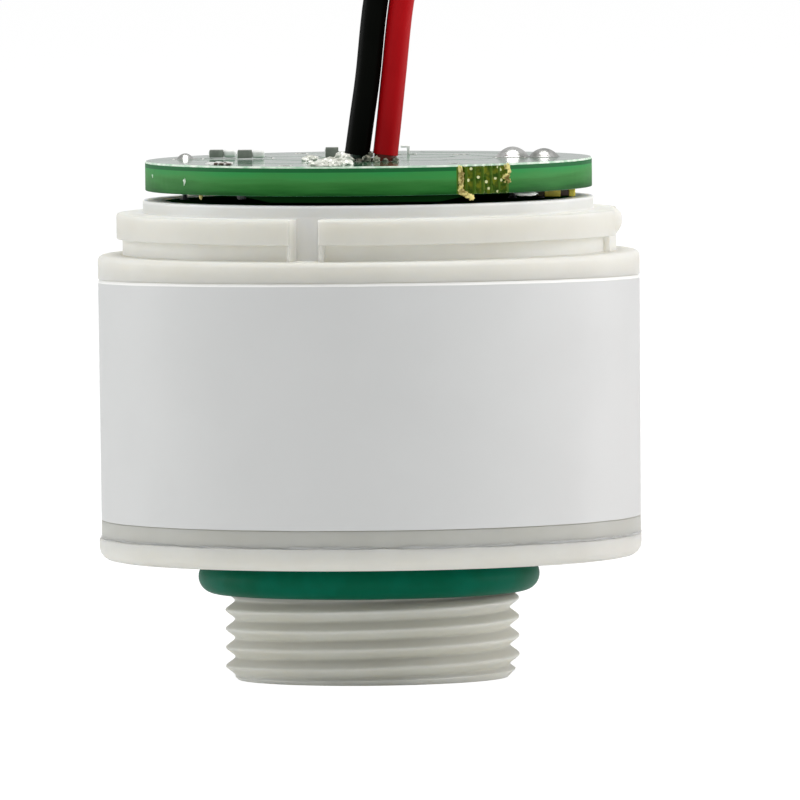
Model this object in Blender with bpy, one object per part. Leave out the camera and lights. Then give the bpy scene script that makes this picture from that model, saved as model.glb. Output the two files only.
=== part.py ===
"""Galvanic oxygen sensor cell: a round can with a threaded gas inlet, a board and two leads.

Metres, +Z up. The origin is the middle of the inlet's end face, which the cell stands on.
The camera side, with the slot in the collar and the two leads, faces -Y. An azimuth here is
measured from that side, positive towards +X.
"""

import math

import bmesh
import bpy
from mathutils import Matrix, Vector

# How finely round pieces are divided
TURNED_STEPS = 48
INNER_STEPS = 32
SMALL_STEPS = 12
SECTOR_STEP = 7.5
THREAD_RINGS_PER_PITCH = 6
WELD_DISTANCE = 1e-7

# Clearances
SEAM_GAP = 0.00005
STACK_GAP = 0.0001
BORE_GAP = 0.0001
SOLDER_GAP = 0.00003
LABEL_GAP = 0.00003
CORD_GAP = 0.0003
CUT_MARGIN = 0.001

# Threaded inlet
THREAD_LENGTH = 0.0047
THREAD_PITCH = 0.001
THREAD_CREST_RADIUS = 0.00795
THREAD_DEPTH = 0.00051
THREAD_END_RELIEF = 0.00002
THREAD_START = 0.00024
NECK_RELIEF = 0.00004
SNOUT_WALL = 0.0011
INLET_DEPTH = 0.0048
GAS_PORT_RADIUS = 0.003

# Base disc and the spigot that centres it in the can
DISC_PROUD = 0.00008
DISC_THICKNESS = 0.00108
DISC_FILLET = 0.0009
SPIGOT_HEIGHT = 0.0025
SPIGOT_WALL = 0.0006
SPIGOT_GAP = 0.00012
CUP_FLOOR_RISE = 0.0003

# Sealing ring under the disc
O_RING_SECTION = 0.0018
O_RING_REST = 0.00019

# Can
CAN_RADIUS = 0.01457
CAN_WALL = 0.00157
CAN_HEIGHT = 0.01527
CAN_TOP_WALL = 0.00169
SHOULDER_FILLET = 0.0003

# Collar on the shoulder
COLLAR_HEIGHT = 0.00225
LIP_SETBACK = 0.00091
LIP_HEIGHT = 0.00137
LIP_EDGE = 0.00015
POST_SETBACK = 0.00029
WINDOW_DEPTH = 0.00032
RIM_SETBACK = 0.00085
RIM_WALL = 0.001
RIM_HEIGHT = 0.00295
SLOT_AZIMUTH = -14.4
SLOT_WIDTH_ANGLE = 6.0
WINDOW_FRONT_LEFT = (-79.0, -19.6)
WINDOW_FRONT_RIGHT = (-10.2, 76.0)

# Label
LABEL_THICKNESS = 0.00006
LABEL_BOTTOM = 0.00094
LABEL_HEIGHT = 0.01303

# Gas membrane stack on the cup floor
FILTER_THICKNESS = 0.0004
MEMBRANE_GAP = 0.00075
MEMBRANE_THICKNESS = 0.0001
CATHODE_GAP = 0.0005
CATHODE_THICKNESS = 0.0004
CATHODE_HOLE_RADIUS = 0.0004
CATHODE_HOLE_PITCH = 0.0026
SEAL_WIDTH = 0.0035
SEAL_THICKNESS = 0.0006
CLAMP_WIDTH = 0.0032
CLAMP_THICKNESS = 0.001
CLAMP_GAP = 0.0004

# Anode, wick and bulkhead
ANODE_GAP = 0.0007
ANODE_HOLE_RADIUS = 0.0015
WICK_THICKNESS = 0.0005
EXPANSION_THICKNESS = 0.0001
BULKHEAD_THICKNESS = 0.0024
INNER_WIRE_RADIUS = 0.00015
INNER_WIRE_HOLE = 0.0004
POTTING_BELOW_RIM = 0.0001

# Board and the pins that carry it
BOARD_INSET = 0.0001
BOARD_THICKNESS = 0.0016
BOARD_OVER_RIM = 0.00051
PIN_RADIUS = 0.0003
PIN_HOLE_GAP = 0.0001
DOME_LEFT = (0.0005, 0.0003)
DOME_RIGHT_INNER = (0.00092, 0.00058)
DOME_RIGHT_OUTER = (0.00050, 0.00047)
NOTCH_RADIUS = 0.0002
NOTCH_COUNT = 6
NOTCH_AZIMUTHS = (23.0, 38.5)

# Chips: length along X, width, height
CHIP_SIZE = (0.0014, 0.0008, 0.00045)
SMALL_CHIP_SIZE = (0.0007, 0.0010, 0.00053)
THERMISTOR_SIZE = (0.00205, 0.0009, 0.0004)
THERMISTOR_TURN = 12.0
CHIP_EDGE = 0.00004

# Places on the board: distance in from its edge, then azimuth
PIN_LEFT_PLACE = (0.00184, -104.1)
PIN_RIGHT_INNER_PLACE = (0.00427, 90.0)
PIN_RIGHT_OUTER_PLACE = (0.0028, 90.0)
CHIP_LEFT_BACK_PLACE = (0.00388, -106.3)
CHIP_LEFT_FRONT_PLACE = (0.00569, -99.9)
CHIP_MIDDLE_PLACE = (0.00944, -132.6)
CHIP_RIGHT_PLACE = (0.00585, 160.8)
THERMISTOR_PLACE = (0.00154, 74.1)

# Leads
LEAD_RADIUS = 0.000675
LEAD_CORE_RADIUS = 0.00025
LEAD_START_HEIGHT = 0.00035
LEAD_SAMPLE = 0.0034
LEAD_BLACK_FOOT = (-0.00056, -0.0040)
LEAD_RED_FOOT = (0.00097, -0.0040)
LEAD_JOINT_RADIUS = 0.00068
LEAD_JOINT_HEIGHT = 0.0002

# The route of each lead from its foot to the coil, chosen by hand
BLACK_ROUTE = (
    (-0.00056, -0.0040, 0.02850),
    (-0.00025, -0.0040, 0.0306),
    (0.00008, -0.0040, 0.03285),
    (0.00054, -0.0040, 0.0368),
    (0.00140, -0.00405, 0.0412),
    (0.00350, -0.0043, 0.0458),
    (0.00720, -0.0049, 0.0499),
    (0.01260, -0.0058, 0.0525),
    (0.01860, -0.0069, 0.0524),
    (0.02420, -0.0081, 0.0495),
    (0.02820, -0.0093, 0.0441),
    (0.03040, -0.0104, 0.0376),
    (0.03115, -0.0114, 0.0304),
    (0.03130, -0.0122, 0.0230),
    (0.03130, -0.0128, 0.0156),
    (0.03125, -0.0128, 0.0094),
    (0.03120, -0.0117, 0.0046),
    (0.03120, -0.0092, 0.0018),
    (0.03120, -0.0064, 0.00108),
    (0.03120, -0.0046, 0.00102),
)
RED_ROUTE = (
    (0.00097, -0.0040, 0.02850),
    (0.00122, -0.0040, 0.0306),
    (0.00147, -0.0040, 0.03285),
    (0.00194, -0.0040, 0.0368),
    (0.00278, -0.00405, 0.0408),
    (0.00465, -0.0043, 0.0449),
    (0.00805, -0.0049, 0.0487),
    (0.01285, -0.0058, 0.0511),
    (0.01810, -0.0069, 0.0510),
    (0.02315, -0.0081, 0.0484),
    (0.02690, -0.0093, 0.0434),
    (0.02900, -0.0104, 0.0373),
    (0.02975, -0.0114, 0.0303),
    (0.02990, -0.0122, 0.0230),
    (0.02990, -0.0128, 0.0156),
    (0.02985, -0.0128, 0.0094),
    (0.02980, -0.0117, 0.0046),
    (0.02980, -0.0092, 0.0018),
    (0.02980, -0.0064, 0.00108),
    (0.02980, -0.0036, 0.00102),
)

# Coil of the unseen length, its tie and the connector
COIL_CENTRE = (0.0380, 0.0020)
COIL_MIDDLE_RADIUS = 0.0075
COIL_PAIR_SPACING = 0.0014
COIL_LAYERS = 2
TIE_THICKNESS = 0.0002
TIE_WIDTH = 0.0016
TIE_GAP = 0.00014
TIE_AZIMUTH = 90.0
CONNECTOR_SIZE = (0.0051, 0.0120, 0.0050)
CONNECTOR_REAR_Y = -0.0095
CONNECTOR_WALL_EDGE = 0.0003
CONTACT_PITCH = 0.00254
CAVITY_SIZE = 0.0019
CAVITY_HEIGHT = 0.0023
LEAD_IN_CAVITY = 0.0025
CONTACT_SIZE = (0.0015, 0.0060, 0.0015)

# Levels that follow from the sizes
SNOUT_LENGTH = THREAD_LENGTH + O_RING_SECTION + O_RING_REST
SEAM_HEIGHT = SNOUT_LENGTH + DISC_THICKNESS
CAN_BOTTOM = SEAM_HEIGHT + SEAM_GAP
SHOULDER_TOP = CAN_BOTTOM + CAN_HEIGHT
CEILING = SHOULDER_TOP - CAN_TOP_WALL
LIP_TOP = SHOULDER_TOP + COLLAR_HEIGHT
LIP_BOTTOM = LIP_TOP - LIP_HEIGHT
RIM_TOP = SHOULDER_TOP + RIM_HEIGHT
BOARD_BOTTOM = RIM_TOP + BOARD_OVER_RIM
BOARD_TOP = BOARD_BOTTOM + BOARD_THICKNESS
CUP_FLOOR = SEAM_HEIGHT + CUP_FLOOR_RISE
MEMBRANE_BOTTOM = CUP_FLOOR + STACK_GAP
CATHODE_BOTTOM = MEMBRANE_BOTTOM + MEMBRANE_THICKNESS + STACK_GAP
CATHODE_TOP = CATHODE_BOTTOM + CATHODE_THICKNESS
CLAMP_BOTTOM = CATHODE_BOTTOM + SEAL_THICKNESS + STACK_GAP
CLAMP_TOP = CLAMP_BOTTOM + CLAMP_THICKNESS
ANODE_BOTTOM = CLAMP_TOP + STACK_GAP
BULKHEAD_TOP = CEILING - STACK_GAP
BULKHEAD_BOTTOM = BULKHEAD_TOP - BULKHEAD_THICKNESS
EXPANSION_TOP = BULKHEAD_BOTTOM - STACK_GAP
EXPANSION_BOTTOM = EXPANSION_TOP - EXPANSION_THICKNESS
PIN_BOTTOM = EXPANSION_BOTTOM - STACK_GAP
INNER_WIRE_LEVEL = PIN_BOTTOM - SOLDER_GAP - INNER_WIRE_RADIUS
WICK_TOP = INNER_WIRE_LEVEL - INNER_WIRE_RADIUS - STACK_GAP
WICK_BOTTOM = WICK_TOP - WICK_THICKNESS
ANODE_TOP = WICK_BOTTOM - STACK_GAP

# Radii that follow from the sizes
THREAD_ROOT_RADIUS = THREAD_CREST_RADIUS - THREAD_DEPTH
THREAD_END_RADIUS = THREAD_ROOT_RADIUS - THREAD_END_RELIEF
NECK_RADIUS = THREAD_ROOT_RADIUS - NECK_RELIEF
INLET_RADIUS = NECK_RADIUS - SNOUT_WALL
O_RING_RADIUS = NECK_RADIUS + SEAM_GAP + O_RING_SECTION / 2
CAN_BORE = CAN_RADIUS - CAN_WALL
DISC_RADIUS = CAN_RADIUS + DISC_PROUD
SPIGOT_RADIUS = CAN_BORE - SPIGOT_GAP
CUP_RADIUS = SPIGOT_RADIUS - SPIGOT_WALL
LIP_RADIUS = CAN_RADIUS - LIP_SETBACK
POST_RADIUS = LIP_RADIUS - POST_SETBACK
WINDOW_FLOOR_RADIUS = POST_RADIUS - WINDOW_DEPTH
RIM_RADIUS = WINDOW_FLOOR_RADIUS - RIM_SETBACK
RIM_BORE = RIM_RADIUS - RIM_WALL
BOARD_RADIUS = RIM_RADIUS - BOARD_INSET
MEMBRANE_RADIUS = CUP_RADIUS - MEMBRANE_GAP
SEAL_BORE = MEMBRANE_RADIUS - SEAL_WIDTH
CATHODE_RADIUS = SEAL_BORE - CATHODE_GAP
CLAMP_RADIUS = CUP_RADIUS - CLAMP_GAP
CLAMP_BORE = CLAMP_RADIUS - CLAMP_WIDTH
SEPARATOR_RADIUS = min(SEAL_BORE, CLAMP_BORE) - CLAMP_GAP
ANODE_RADIUS = CUP_RADIUS - ANODE_GAP
PIN_HOLE_RADIUS = PIN_RADIUS + PIN_HOLE_GAP
COIL_BOTTOM = TIE_THICKNESS + TIE_GAP
COIL_HALF_WIDTH = COIL_PAIR_SPACING / 2 + LEAD_RADIUS
COIL_TOP = COIL_BOTTOM + COIL_LAYERS * 2 * LEAD_RADIUS


def on_board(place):
    """(x, y) of a place given as a distance in from the board's edge and an azimuth."""
    inset, azimuth = place
    angle = math.radians(azimuth - 90.0)
    return (BOARD_RADIUS - inset) * math.cos(angle), (BOARD_RADIUS - inset) * math.sin(angle)


PIN_LEFT = on_board(PIN_LEFT_PLACE)
PIN_RIGHT_INNER = on_board(PIN_RIGHT_INNER_PLACE)
PIN_PLACES = (PIN_LEFT, PIN_RIGHT_INNER, on_board(PIN_RIGHT_OUTER_PLACE))


def material(name, colour, roughness, metallic=0.0):
    """A Principled material of one plain colour."""
    made = bpy.data.materials.new(name)
    made.use_nodes = True
    shader = made.node_tree.nodes["Principled BSDF"]
    shader.inputs["Base Color"].default_value = (*colour, 1.0)
    shader.inputs["Roughness"].default_value = roughness
    shader.inputs["Metallic"].default_value = metallic
    return made


def placed(name, bm, finish, place=(0.0, 0.0, 0.0), turn=0.0):
    """Turn a bmesh into a smooth-shaded object with one material."""
    bmesh.ops.recalc_face_normals(bm, faces=bm.faces)
    mesh = bpy.data.meshes.new(name)
    bm.to_mesh(mesh)
    bm.free()
    mesh.shade_smooth()
    mesh.set_sharp_from_angle(angle=math.radians(30))
    mesh.materials.append(finish)
    made = bpy.data.objects.new(name, mesh)
    made.location = place
    made.rotation_euler = (0.0, 0.0, math.radians(turn))
    bpy.context.scene.collection.objects.link(made)
    return made


def turned_mesh(profile, steps):
    """Spin a profile of (radius, height) about Z. It starts and ends on the axis, or closes on itself."""
    bm = bmesh.new()
    points = [bm.verts.new((radius, 0.0, height)) for radius, height in profile]
    on_axis = profile[0][0] == 0.0
    for first, second in zip(points, points[1:]):
        bm.edges.new((first, second))
    if not on_axis:
        bm.edges.new((points[-1], points[0]))
    outline = bm.verts[:] + bm.edges[:]
    bmesh.ops.spin(bm, geom=outline, cent=(0, 0, 0), axis=(0, 0, 1), angle=math.tau, steps=steps, use_merge=True)
    bmesh.ops.remove_doubles(bm, verts=bm.verts, dist=WELD_DISTANCE)
    return bm


def turned(name, profile, finish, steps=TURNED_STEPS, place=(0.0, 0.0, 0.0)):
    return placed(name, turned_mesh(profile, steps), finish, place)


def disc(name, radius, bottom, top, finish, steps=INNER_STEPS):
    return turned(name, ((0.0, bottom), (radius, bottom), (radius, top), (0.0, top)), finish, steps)


def washer(name, inner, outer, bottom, top, finish, steps=INNER_STEPS):
    profile = ((inner, bottom), (outer, bottom), (outer, top), (inner, top))
    return turned(name, profile, finish, steps)


def rod(bm, place, radius, bottom, top, segments=SMALL_STEPS):
    """Add a round rod that stands at place to a bmesh."""
    middle = Matrix.Translation((place[0], place[1], (bottom + top) / 2))
    bmesh.ops.create_cone(
        bm, cap_ends=True, segments=segments, radius1=radius, radius2=radius, depth=top - bottom, matrix=middle
    )


def block_mesh(size, bottom, edge):
    """A block on its bottom face with slightly rounded edges."""
    bm = bmesh.new()
    centre = Matrix.Translation((0.0, 0.0, bottom + size[2] / 2))
    bmesh.ops.create_cube(bm, size=1.0, matrix=centre @ Matrix.Diagonal((*size, 1.0)))
    if edge > 0.0:
        bmesh.ops.bevel(bm, geom=bm.edges[:], offset=edge, segments=1, profile=0.5, affect="EDGES", material=-1)
    return bm


def combine(target, tool, operation):
    """Cut a tool from a target or add it, and keep the tool out of the model."""
    tool.hide_render = True
    tool.display_type = "WIRE"
    modifier = target.modifiers.new(tool.name, "BOOLEAN")
    modifier.operation = operation
    modifier.solver = "EXACT"
    modifier.object = tool


def drill(target, holes, bottom, top, segments=SMALL_STEPS):
    """Cut upright round holes, given as (x, y, radius), through a target."""
    bm = bmesh.new()
    for x, y, radius in holes:
        rod(bm, (x, y), radius, bottom - CUT_MARGIN, top + CUT_MARGIN, segments)
    combine(target, placed(target.name + "_drill", bm, target.active_material), "DIFFERENCE")


def sector_mesh(inner, outer, bottom, top, start, end):
    """A curved block between two azimuths, in degrees from the camera side."""
    steps = max(2, math.ceil((end - start) / SECTOR_STEP))
    first = math.radians(start) - math.pi / 2
    corners = ((inner, bottom), (outer, bottom), (outer, top), (inner, top))
    bm = bmesh.new()
    points = [bm.verts.new((radius * math.cos(first), radius * math.sin(first), z)) for radius, z in corners]
    edges = [bm.edges.new((points[index - 1], points[index])) for index in range(4)]
    sweep = math.radians(end - start)
    bmesh.ops.spin(bm, geom=points + edges, cent=(0, 0, 0), axis=(0, 0, 1), angle=sweep, steps=steps)
    bmesh.ops.holes_fill(bm, edges=bm.edges, sides=4)
    return bm


def thread_radius(angle, height):
    """Radius of the thread's flank at an angle about Z and a height, for a right-hand helix."""
    phase = (height - THREAD_START) / THREAD_PITCH - angle / math.tau
    wave = 0.5 + 0.5 * math.cos(math.tau * phase)
    radius = THREAD_CREST_RADIUS - THREAD_DEPTH * (1.0 - wave)
    return min(radius, THREAD_END_RADIUS + height)


def fillet(centre_radius, centre_height, size, start, end, steps=3):
    """Points of a quarter-round edge in a turned profile."""
    angles = [math.radians(start + (end - start) * index / steps) for index in range(steps + 1)]
    return [(centre_radius + size * math.cos(a), centre_height + size * math.sin(a)) for a in angles]


def make_base_cap():
    """The moulded base: a disc with a threaded inlet below and a spigot with the membrane seat above."""
    ring_count = round(THREAD_LENGTH / THREAD_PITCH * THREAD_RINGS_PER_PITCH)
    thread = [(THREAD_CREST_RADIUS, THREAD_LENGTH * index / ring_count) for index in range(ring_count + 1)]
    edge = fillet(DISC_RADIUS - DISC_FILLET, SNOUT_LENGTH + DISC_FILLET, DISC_FILLET, -90.0, 0.0)
    profile = [
        (INLET_RADIUS, 0.0),
        *thread,
        (NECK_RADIUS, THREAD_LENGTH),
        (NECK_RADIUS, SNOUT_LENGTH),
        *edge,
        (DISC_RADIUS, SEAM_HEIGHT),
        (SPIGOT_RADIUS, SEAM_HEIGHT),
        (SPIGOT_RADIUS, SEAM_HEIGHT + SPIGOT_HEIGHT),
        (CUP_RADIUS, SEAM_HEIGHT + SPIGOT_HEIGHT),
        (CUP_RADIUS, CUP_FLOOR),
        (GAS_PORT_RADIUS, CUP_FLOOR),
        (GAS_PORT_RADIUS, INLET_DEPTH),
        (INLET_RADIUS, INLET_DEPTH),
    ]
    bm = turned_mesh(profile, TURNED_STEPS)
    for point in bm.verts:
        radius = math.hypot(point.co.x, point.co.y)
        if abs(radius - THREAD_CREST_RADIUS) < WELD_DISTANCE:
            angle = math.atan2(point.co.y, point.co.x)
            wanted = thread_radius(angle, point.co.z)
            point.co.x = wanted * math.cos(angle)
            point.co.y = wanted * math.sin(angle)
    return placed("base_cap", bm, warm_plastic)


def make_housing_can():
    """The moulded can: one wall with its shoulder, collar and open rim."""
    edge = fillet(CAN_RADIUS - SHOULDER_FILLET, SHOULDER_TOP - SHOULDER_FILLET, SHOULDER_FILLET, 0.0, 90.0)
    profile = [
        (CAN_BORE, CAN_BOTTOM),
        (CAN_RADIUS, CAN_BOTTOM),
        *edge,
        (WINDOW_FLOOR_RADIUS, SHOULDER_TOP),
        (WINDOW_FLOOR_RADIUS, LIP_BOTTOM),
        (LIP_RADIUS, LIP_BOTTOM),
        (LIP_RADIUS, LIP_TOP - LIP_EDGE),
        (LIP_RADIUS - LIP_EDGE, LIP_TOP),
        (RIM_RADIUS, LIP_TOP),
        (RIM_RADIUS, RIM_TOP),
        (RIM_BORE, RIM_TOP),
        (RIM_BORE, CEILING),
        (CAN_BORE, CEILING),
    ]
    can = turned("housing_can", profile, warm_plastic)
    core = (RIM_RADIUS + WINDOW_FLOOR_RADIUS) / 2
    inset = LIP_HEIGHT / 2
    posts_start = (WINDOW_FRONT_LEFT[1], WINDOW_FRONT_RIGHT[1])
    posts_end = (WINDOW_FRONT_RIGHT[0], WINDOW_FRONT_LEFT[0] + 180.0)
    for half in range(2):
        for start, end in zip(posts_start, posts_end):
            name = f"post_{half}_{round(start)}"
            bm = sector_mesh(
                core, POST_RADIUS, SHOULDER_TOP - inset, LIP_BOTTOM + inset, start + 180.0 * half, end + 180.0 * half
            )
            combine(can, placed(name, bm, warm_plastic), "UNION")
    for half in range(2):
        middle = SLOT_AZIMUTH + 180.0 * half
        start = middle - SLOT_WIDTH_ANGLE / 2
        end = middle + SLOT_WIDTH_ANGLE / 2
        bm = sector_mesh(RIM_RADIUS, CAN_RADIUS, SHOULDER_TOP, LIP_TOP + CUT_MARGIN, start, end)
        combine(can, placed(f"slot_{half}", bm, warm_plastic), "DIFFERENCE")
    return can


def make_o_ring():
    centre_height = SNOUT_LENGTH - O_RING_REST - O_RING_SECTION / 2
    section = O_RING_SECTION / 2
    steps = 10
    angles = [math.tau * index / steps for index in range(steps)]
    profile = [(O_RING_RADIUS + section * math.cos(a), centre_height + section * math.sin(a)) for a in angles]
    return turned("o_ring", profile, teal_rubber)


def make_label():
    bottom = CAN_BOTTOM + LABEL_BOTTOM
    inner = CAN_RADIUS + LABEL_GAP
    return washer("label", inner, inner + LABEL_THICKNESS, bottom, bottom + LABEL_HEIGHT, label_film, TURNED_STEPS)


def make_membrane_stack():
    """What lies on the cup floor: filter, gas membrane, perforated cathode, seal, clamp and separator."""
    filter_top = INLET_DEPTH - STACK_GAP
    disc("dust_filter", INLET_RADIUS - BORE_GAP, filter_top - FILTER_THICKNESS, filter_top, white_felt)
    disc("gas_membrane", MEMBRANE_RADIUS, MEMBRANE_BOTTOM, MEMBRANE_BOTTOM + MEMBRANE_THICKNESS, clear_film)
    cathode = disc("cathode", CATHODE_RADIUS, CATHODE_BOTTOM, CATHODE_TOP, gold)
    holes = []
    rings = int((CATHODE_RADIUS - 2 * CATHODE_HOLE_RADIUS) / CATHODE_HOLE_PITCH)
    for ring in range(1, rings + 1):
        for index in range(6 * ring):
            angle = math.tau * index / (6 * ring)
            distance = ring * CATHODE_HOLE_PITCH
            holes.append((distance * math.cos(angle), distance * math.sin(angle), CATHODE_HOLE_RADIUS))
    drill(cathode, holes, CATHODE_BOTTOM, CATHODE_TOP, segments=6)
    seal_top = CATHODE_BOTTOM + SEAL_THICKNESS
    washer("membrane_seal", SEAL_BORE, MEMBRANE_RADIUS, CATHODE_BOTTOM, seal_top, black_rubber)
    washer("clamp_ring", CLAMP_BORE, CLAMP_RADIUS, CLAMP_BOTTOM, CLAMP_TOP, warm_plastic)
    separator = disc("separator_felt", SEPARATOR_RADIUS, CATHODE_TOP + STACK_GAP, CLAMP_TOP, white_felt)
    drill(separator, [(0.0, 0.0, INNER_WIRE_HOLE)], CATHODE_TOP, CLAMP_TOP)


def make_anode_and_bulkhead():
    """The lead anode, the wick on it, the expansion film and the bulkhead that closes the can."""
    anode = disc("lead_anode", ANODE_RADIUS, ANODE_BOTTOM, ANODE_TOP, grey_lead)
    drill(anode, [(0.0, 0.0, ANODE_HOLE_RADIUS)], ANODE_BOTTOM, ANODE_TOP)
    wick = disc("upper_wick", ANODE_RADIUS, WICK_BOTTOM, WICK_TOP, white_felt)
    drill(wick, [(0.0, 0.0, INNER_WIRE_HOLE), (*PIN_RIGHT_INNER, INNER_WIRE_HOLE)], WICK_BOTTOM, WICK_TOP)
    pin_holes = [(*place, PIN_HOLE_RADIUS) for place in PIN_PLACES]
    film = disc("expansion_film", CAN_BORE - BORE_GAP, EXPANSION_BOTTOM, EXPANSION_TOP, clear_film)
    drill(film, pin_holes, EXPANSION_BOTTOM, EXPANSION_TOP)
    bulkhead = disc("bulkhead", CAN_BORE - BORE_GAP, BULKHEAD_BOTTOM, BULKHEAD_TOP, warm_plastic)
    drill(bulkhead, pin_holes, BULKHEAD_BOTTOM, BULKHEAD_TOP)
    potting_top = RIM_TOP - POTTING_BELOW_RIM
    potting = disc("potting", RIM_BORE - BORE_GAP, CEILING, potting_top, black_resin)
    drill(potting, pin_holes, CEILING, potting_top)


def make_inner_wires():
    """The bare wires that join the two electrodes to their pins."""
    wire_start = CATHODE_TOP + SOLDER_GAP
    pin = Vector((*PIN_LEFT, INNER_WIRE_LEVEL))
    bend = 0.0006
    route = (
        Vector((0.0, 0.0, wire_start)),
        Vector((0.0, 0.0, INNER_WIRE_LEVEL - bend)),
        Vector((0.0, 0.0, INNER_WIRE_LEVEL)) + pin.xy.to_3d().normalized() * bend,
        pin,
    )
    tube("cathode_wire", route, INNER_WIRE_RADIUS, bare_wire)
    bm = bmesh.new()
    rod(bm, PIN_RIGHT_INNER, INNER_WIRE_RADIUS, ANODE_TOP + SOLDER_GAP, PIN_BOTTOM - SOLDER_GAP)
    placed("anode_wire", bm, bare_wire)


def make_board():
    """The round circuit board with its pin holes, lead holes and the broken tab's notches."""
    board = disc("circuit_board", BOARD_RADIUS, BOARD_BOTTOM, BOARD_TOP, green_board, TURNED_STEPS)
    holes = [(*place, PIN_HOLE_RADIUS) for place in PIN_PLACES]
    core_hole = LEAD_CORE_RADIUS + PIN_HOLE_GAP
    holes += [(*LEAD_BLACK_FOOT, core_hole), (*LEAD_RED_FOOT, core_hole)]
    first, last = NOTCH_AZIMUTHS
    for index in range(NOTCH_COUNT):
        angle = math.radians(first + (last - first) * index / (NOTCH_COUNT - 1)) - math.pi / 2
        holes.append((BOARD_RADIUS * math.cos(angle), BOARD_RADIUS * math.sin(angle), NOTCH_RADIUS))
    drill(board, holes, BOARD_BOTTOM, BOARD_TOP)


def make_dome(name, place, size):
    """A drop of solder on the board: a flattened half ball."""
    radius, height = size
    bottom = BOARD_TOP + SOLDER_GAP
    steps = 4
    angles = [math.pi / 2 * index / steps for index in range(steps + 1)]
    profile = [(0.0, bottom)] + [(radius * math.cos(a), bottom + height * math.sin(a)) for a in angles]
    profile[-1] = (0.0, bottom + height)
    turned(name, profile, solder, SMALL_STEPS, (*place, 0.0))


def make_pins():
    names = ("left", "right_inner", "right_outer")
    sizes = (DOME_LEFT, DOME_RIGHT_INNER, DOME_RIGHT_OUTER)
    for name, place, size in zip(names, PIN_PLACES, sizes):
        bm = bmesh.new()
        rod(bm, place, PIN_RADIUS, PIN_BOTTOM, BOARD_TOP)
        placed(f"pin_{name}", bm, bare_wire)
        make_dome(f"pin_joint_{name}", place, size)


def make_chips():
    """Chips on the board and the temperature sensor under its edge."""
    on_top = BOARD_TOP + SOLDER_GAP
    chips = (
        ("chip_left_back", CHIP_LEFT_BACK_PLACE, CHIP_SIZE),
        ("chip_left_front", CHIP_LEFT_FRONT_PLACE, CHIP_SIZE),
        ("chip_middle", CHIP_MIDDLE_PLACE, SMALL_CHIP_SIZE),
        ("chip_right", CHIP_RIGHT_PLACE, SMALL_CHIP_SIZE),
    )
    for name, place, size in chips:
        placed(name, block_mesh(size, on_top, CHIP_EDGE), grey_chip, (*on_board(place), 0.0))
    under = BOARD_BOTTOM - SOLDER_GAP - THERMISTOR_SIZE[2]
    sensor = block_mesh(THERMISTOR_SIZE, under, CHIP_EDGE)
    placed("thermistor", sensor, brown_chip, (*on_board(THERMISTOR_PLACE), 0.0), THERMISTOR_TURN)


def smooth_route(route, spacing):
    """Even points on a smooth curve through a cord's own points."""
    points = [Vector(point) for point in route]
    padded = [2 * points[0] - points[1], *points, 2 * points[-1] - points[-2]]
    fine = []
    for index in range(1, len(padded) - 2):
        before, here, there, after = padded[index - 1 : index + 3]
        for step in range(12):
            t = step / 12
            fine.append(
                0.5 * (2 * here + (there - before) * t + (2 * before - 5 * here + 4 * there - after) * t**2
                       + (3 * here - before - 3 * there + after) * t**3)
            )
    fine.append(points[-1])
    lengths = [0.0]
    for first, second in zip(fine, fine[1:]):
        lengths.append(lengths[-1] + (second - first).length)
    count = max(2, round(lengths[-1] / spacing))
    even = []
    position = 0
    for index in range(count + 1):
        wanted = lengths[-1] * index / count
        while position < len(fine) - 2 and lengths[position + 1] < wanted:
            position += 1
        share = (wanted - lengths[position]) / (lengths[position + 1] - lengths[position])
        even.append(fine[position].lerp(fine[position + 1], share))
    return even


def tube(name, points, radius, finish):
    """A round tube along points, with closed ends."""
    curve = bpy.data.curves.new(name, "CURVE")
    curve.dimensions = "3D"
    curve.bevel_depth = radius
    curve.bevel_resolution = 2
    curve.use_fill_caps = True
    spline = curve.splines.new("POLY")
    spline.points.add(len(points) - 1)
    for target, point in zip(spline.points, points):
        target.co = (*point, 1.0)
    curve.materials.append(finish)
    made = bpy.data.objects.new(name, curve)
    bpy.context.scene.collection.objects.link(made)
    return made


def make_lead_foot(name, foot):
    """The tinned end of a lead in its hole, and the ring of solder round it."""
    lead_end = BOARD_TOP + LEAD_START_HEIGHT - SOLDER_GAP
    bm = bmesh.new()
    rod(bm, foot, LEAD_CORE_RADIUS, BOARD_BOTTOM, lead_end)
    placed(f"{name}_core", bm, solder)
    inner = LEAD_CORE_RADIUS + SOLDER_GAP
    bottom = BOARD_TOP + SOLDER_GAP
    top = bottom + LEAD_JOINT_HEIGHT
    profile = ((inner, bottom), (LEAD_JOINT_RADIUS, bottom), (inner + LEAD_CORE_RADIUS, top), (inner, top))
    turned(f"{name}_joint", profile, solder, SMALL_STEPS, (*foot, 0.0))


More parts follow.
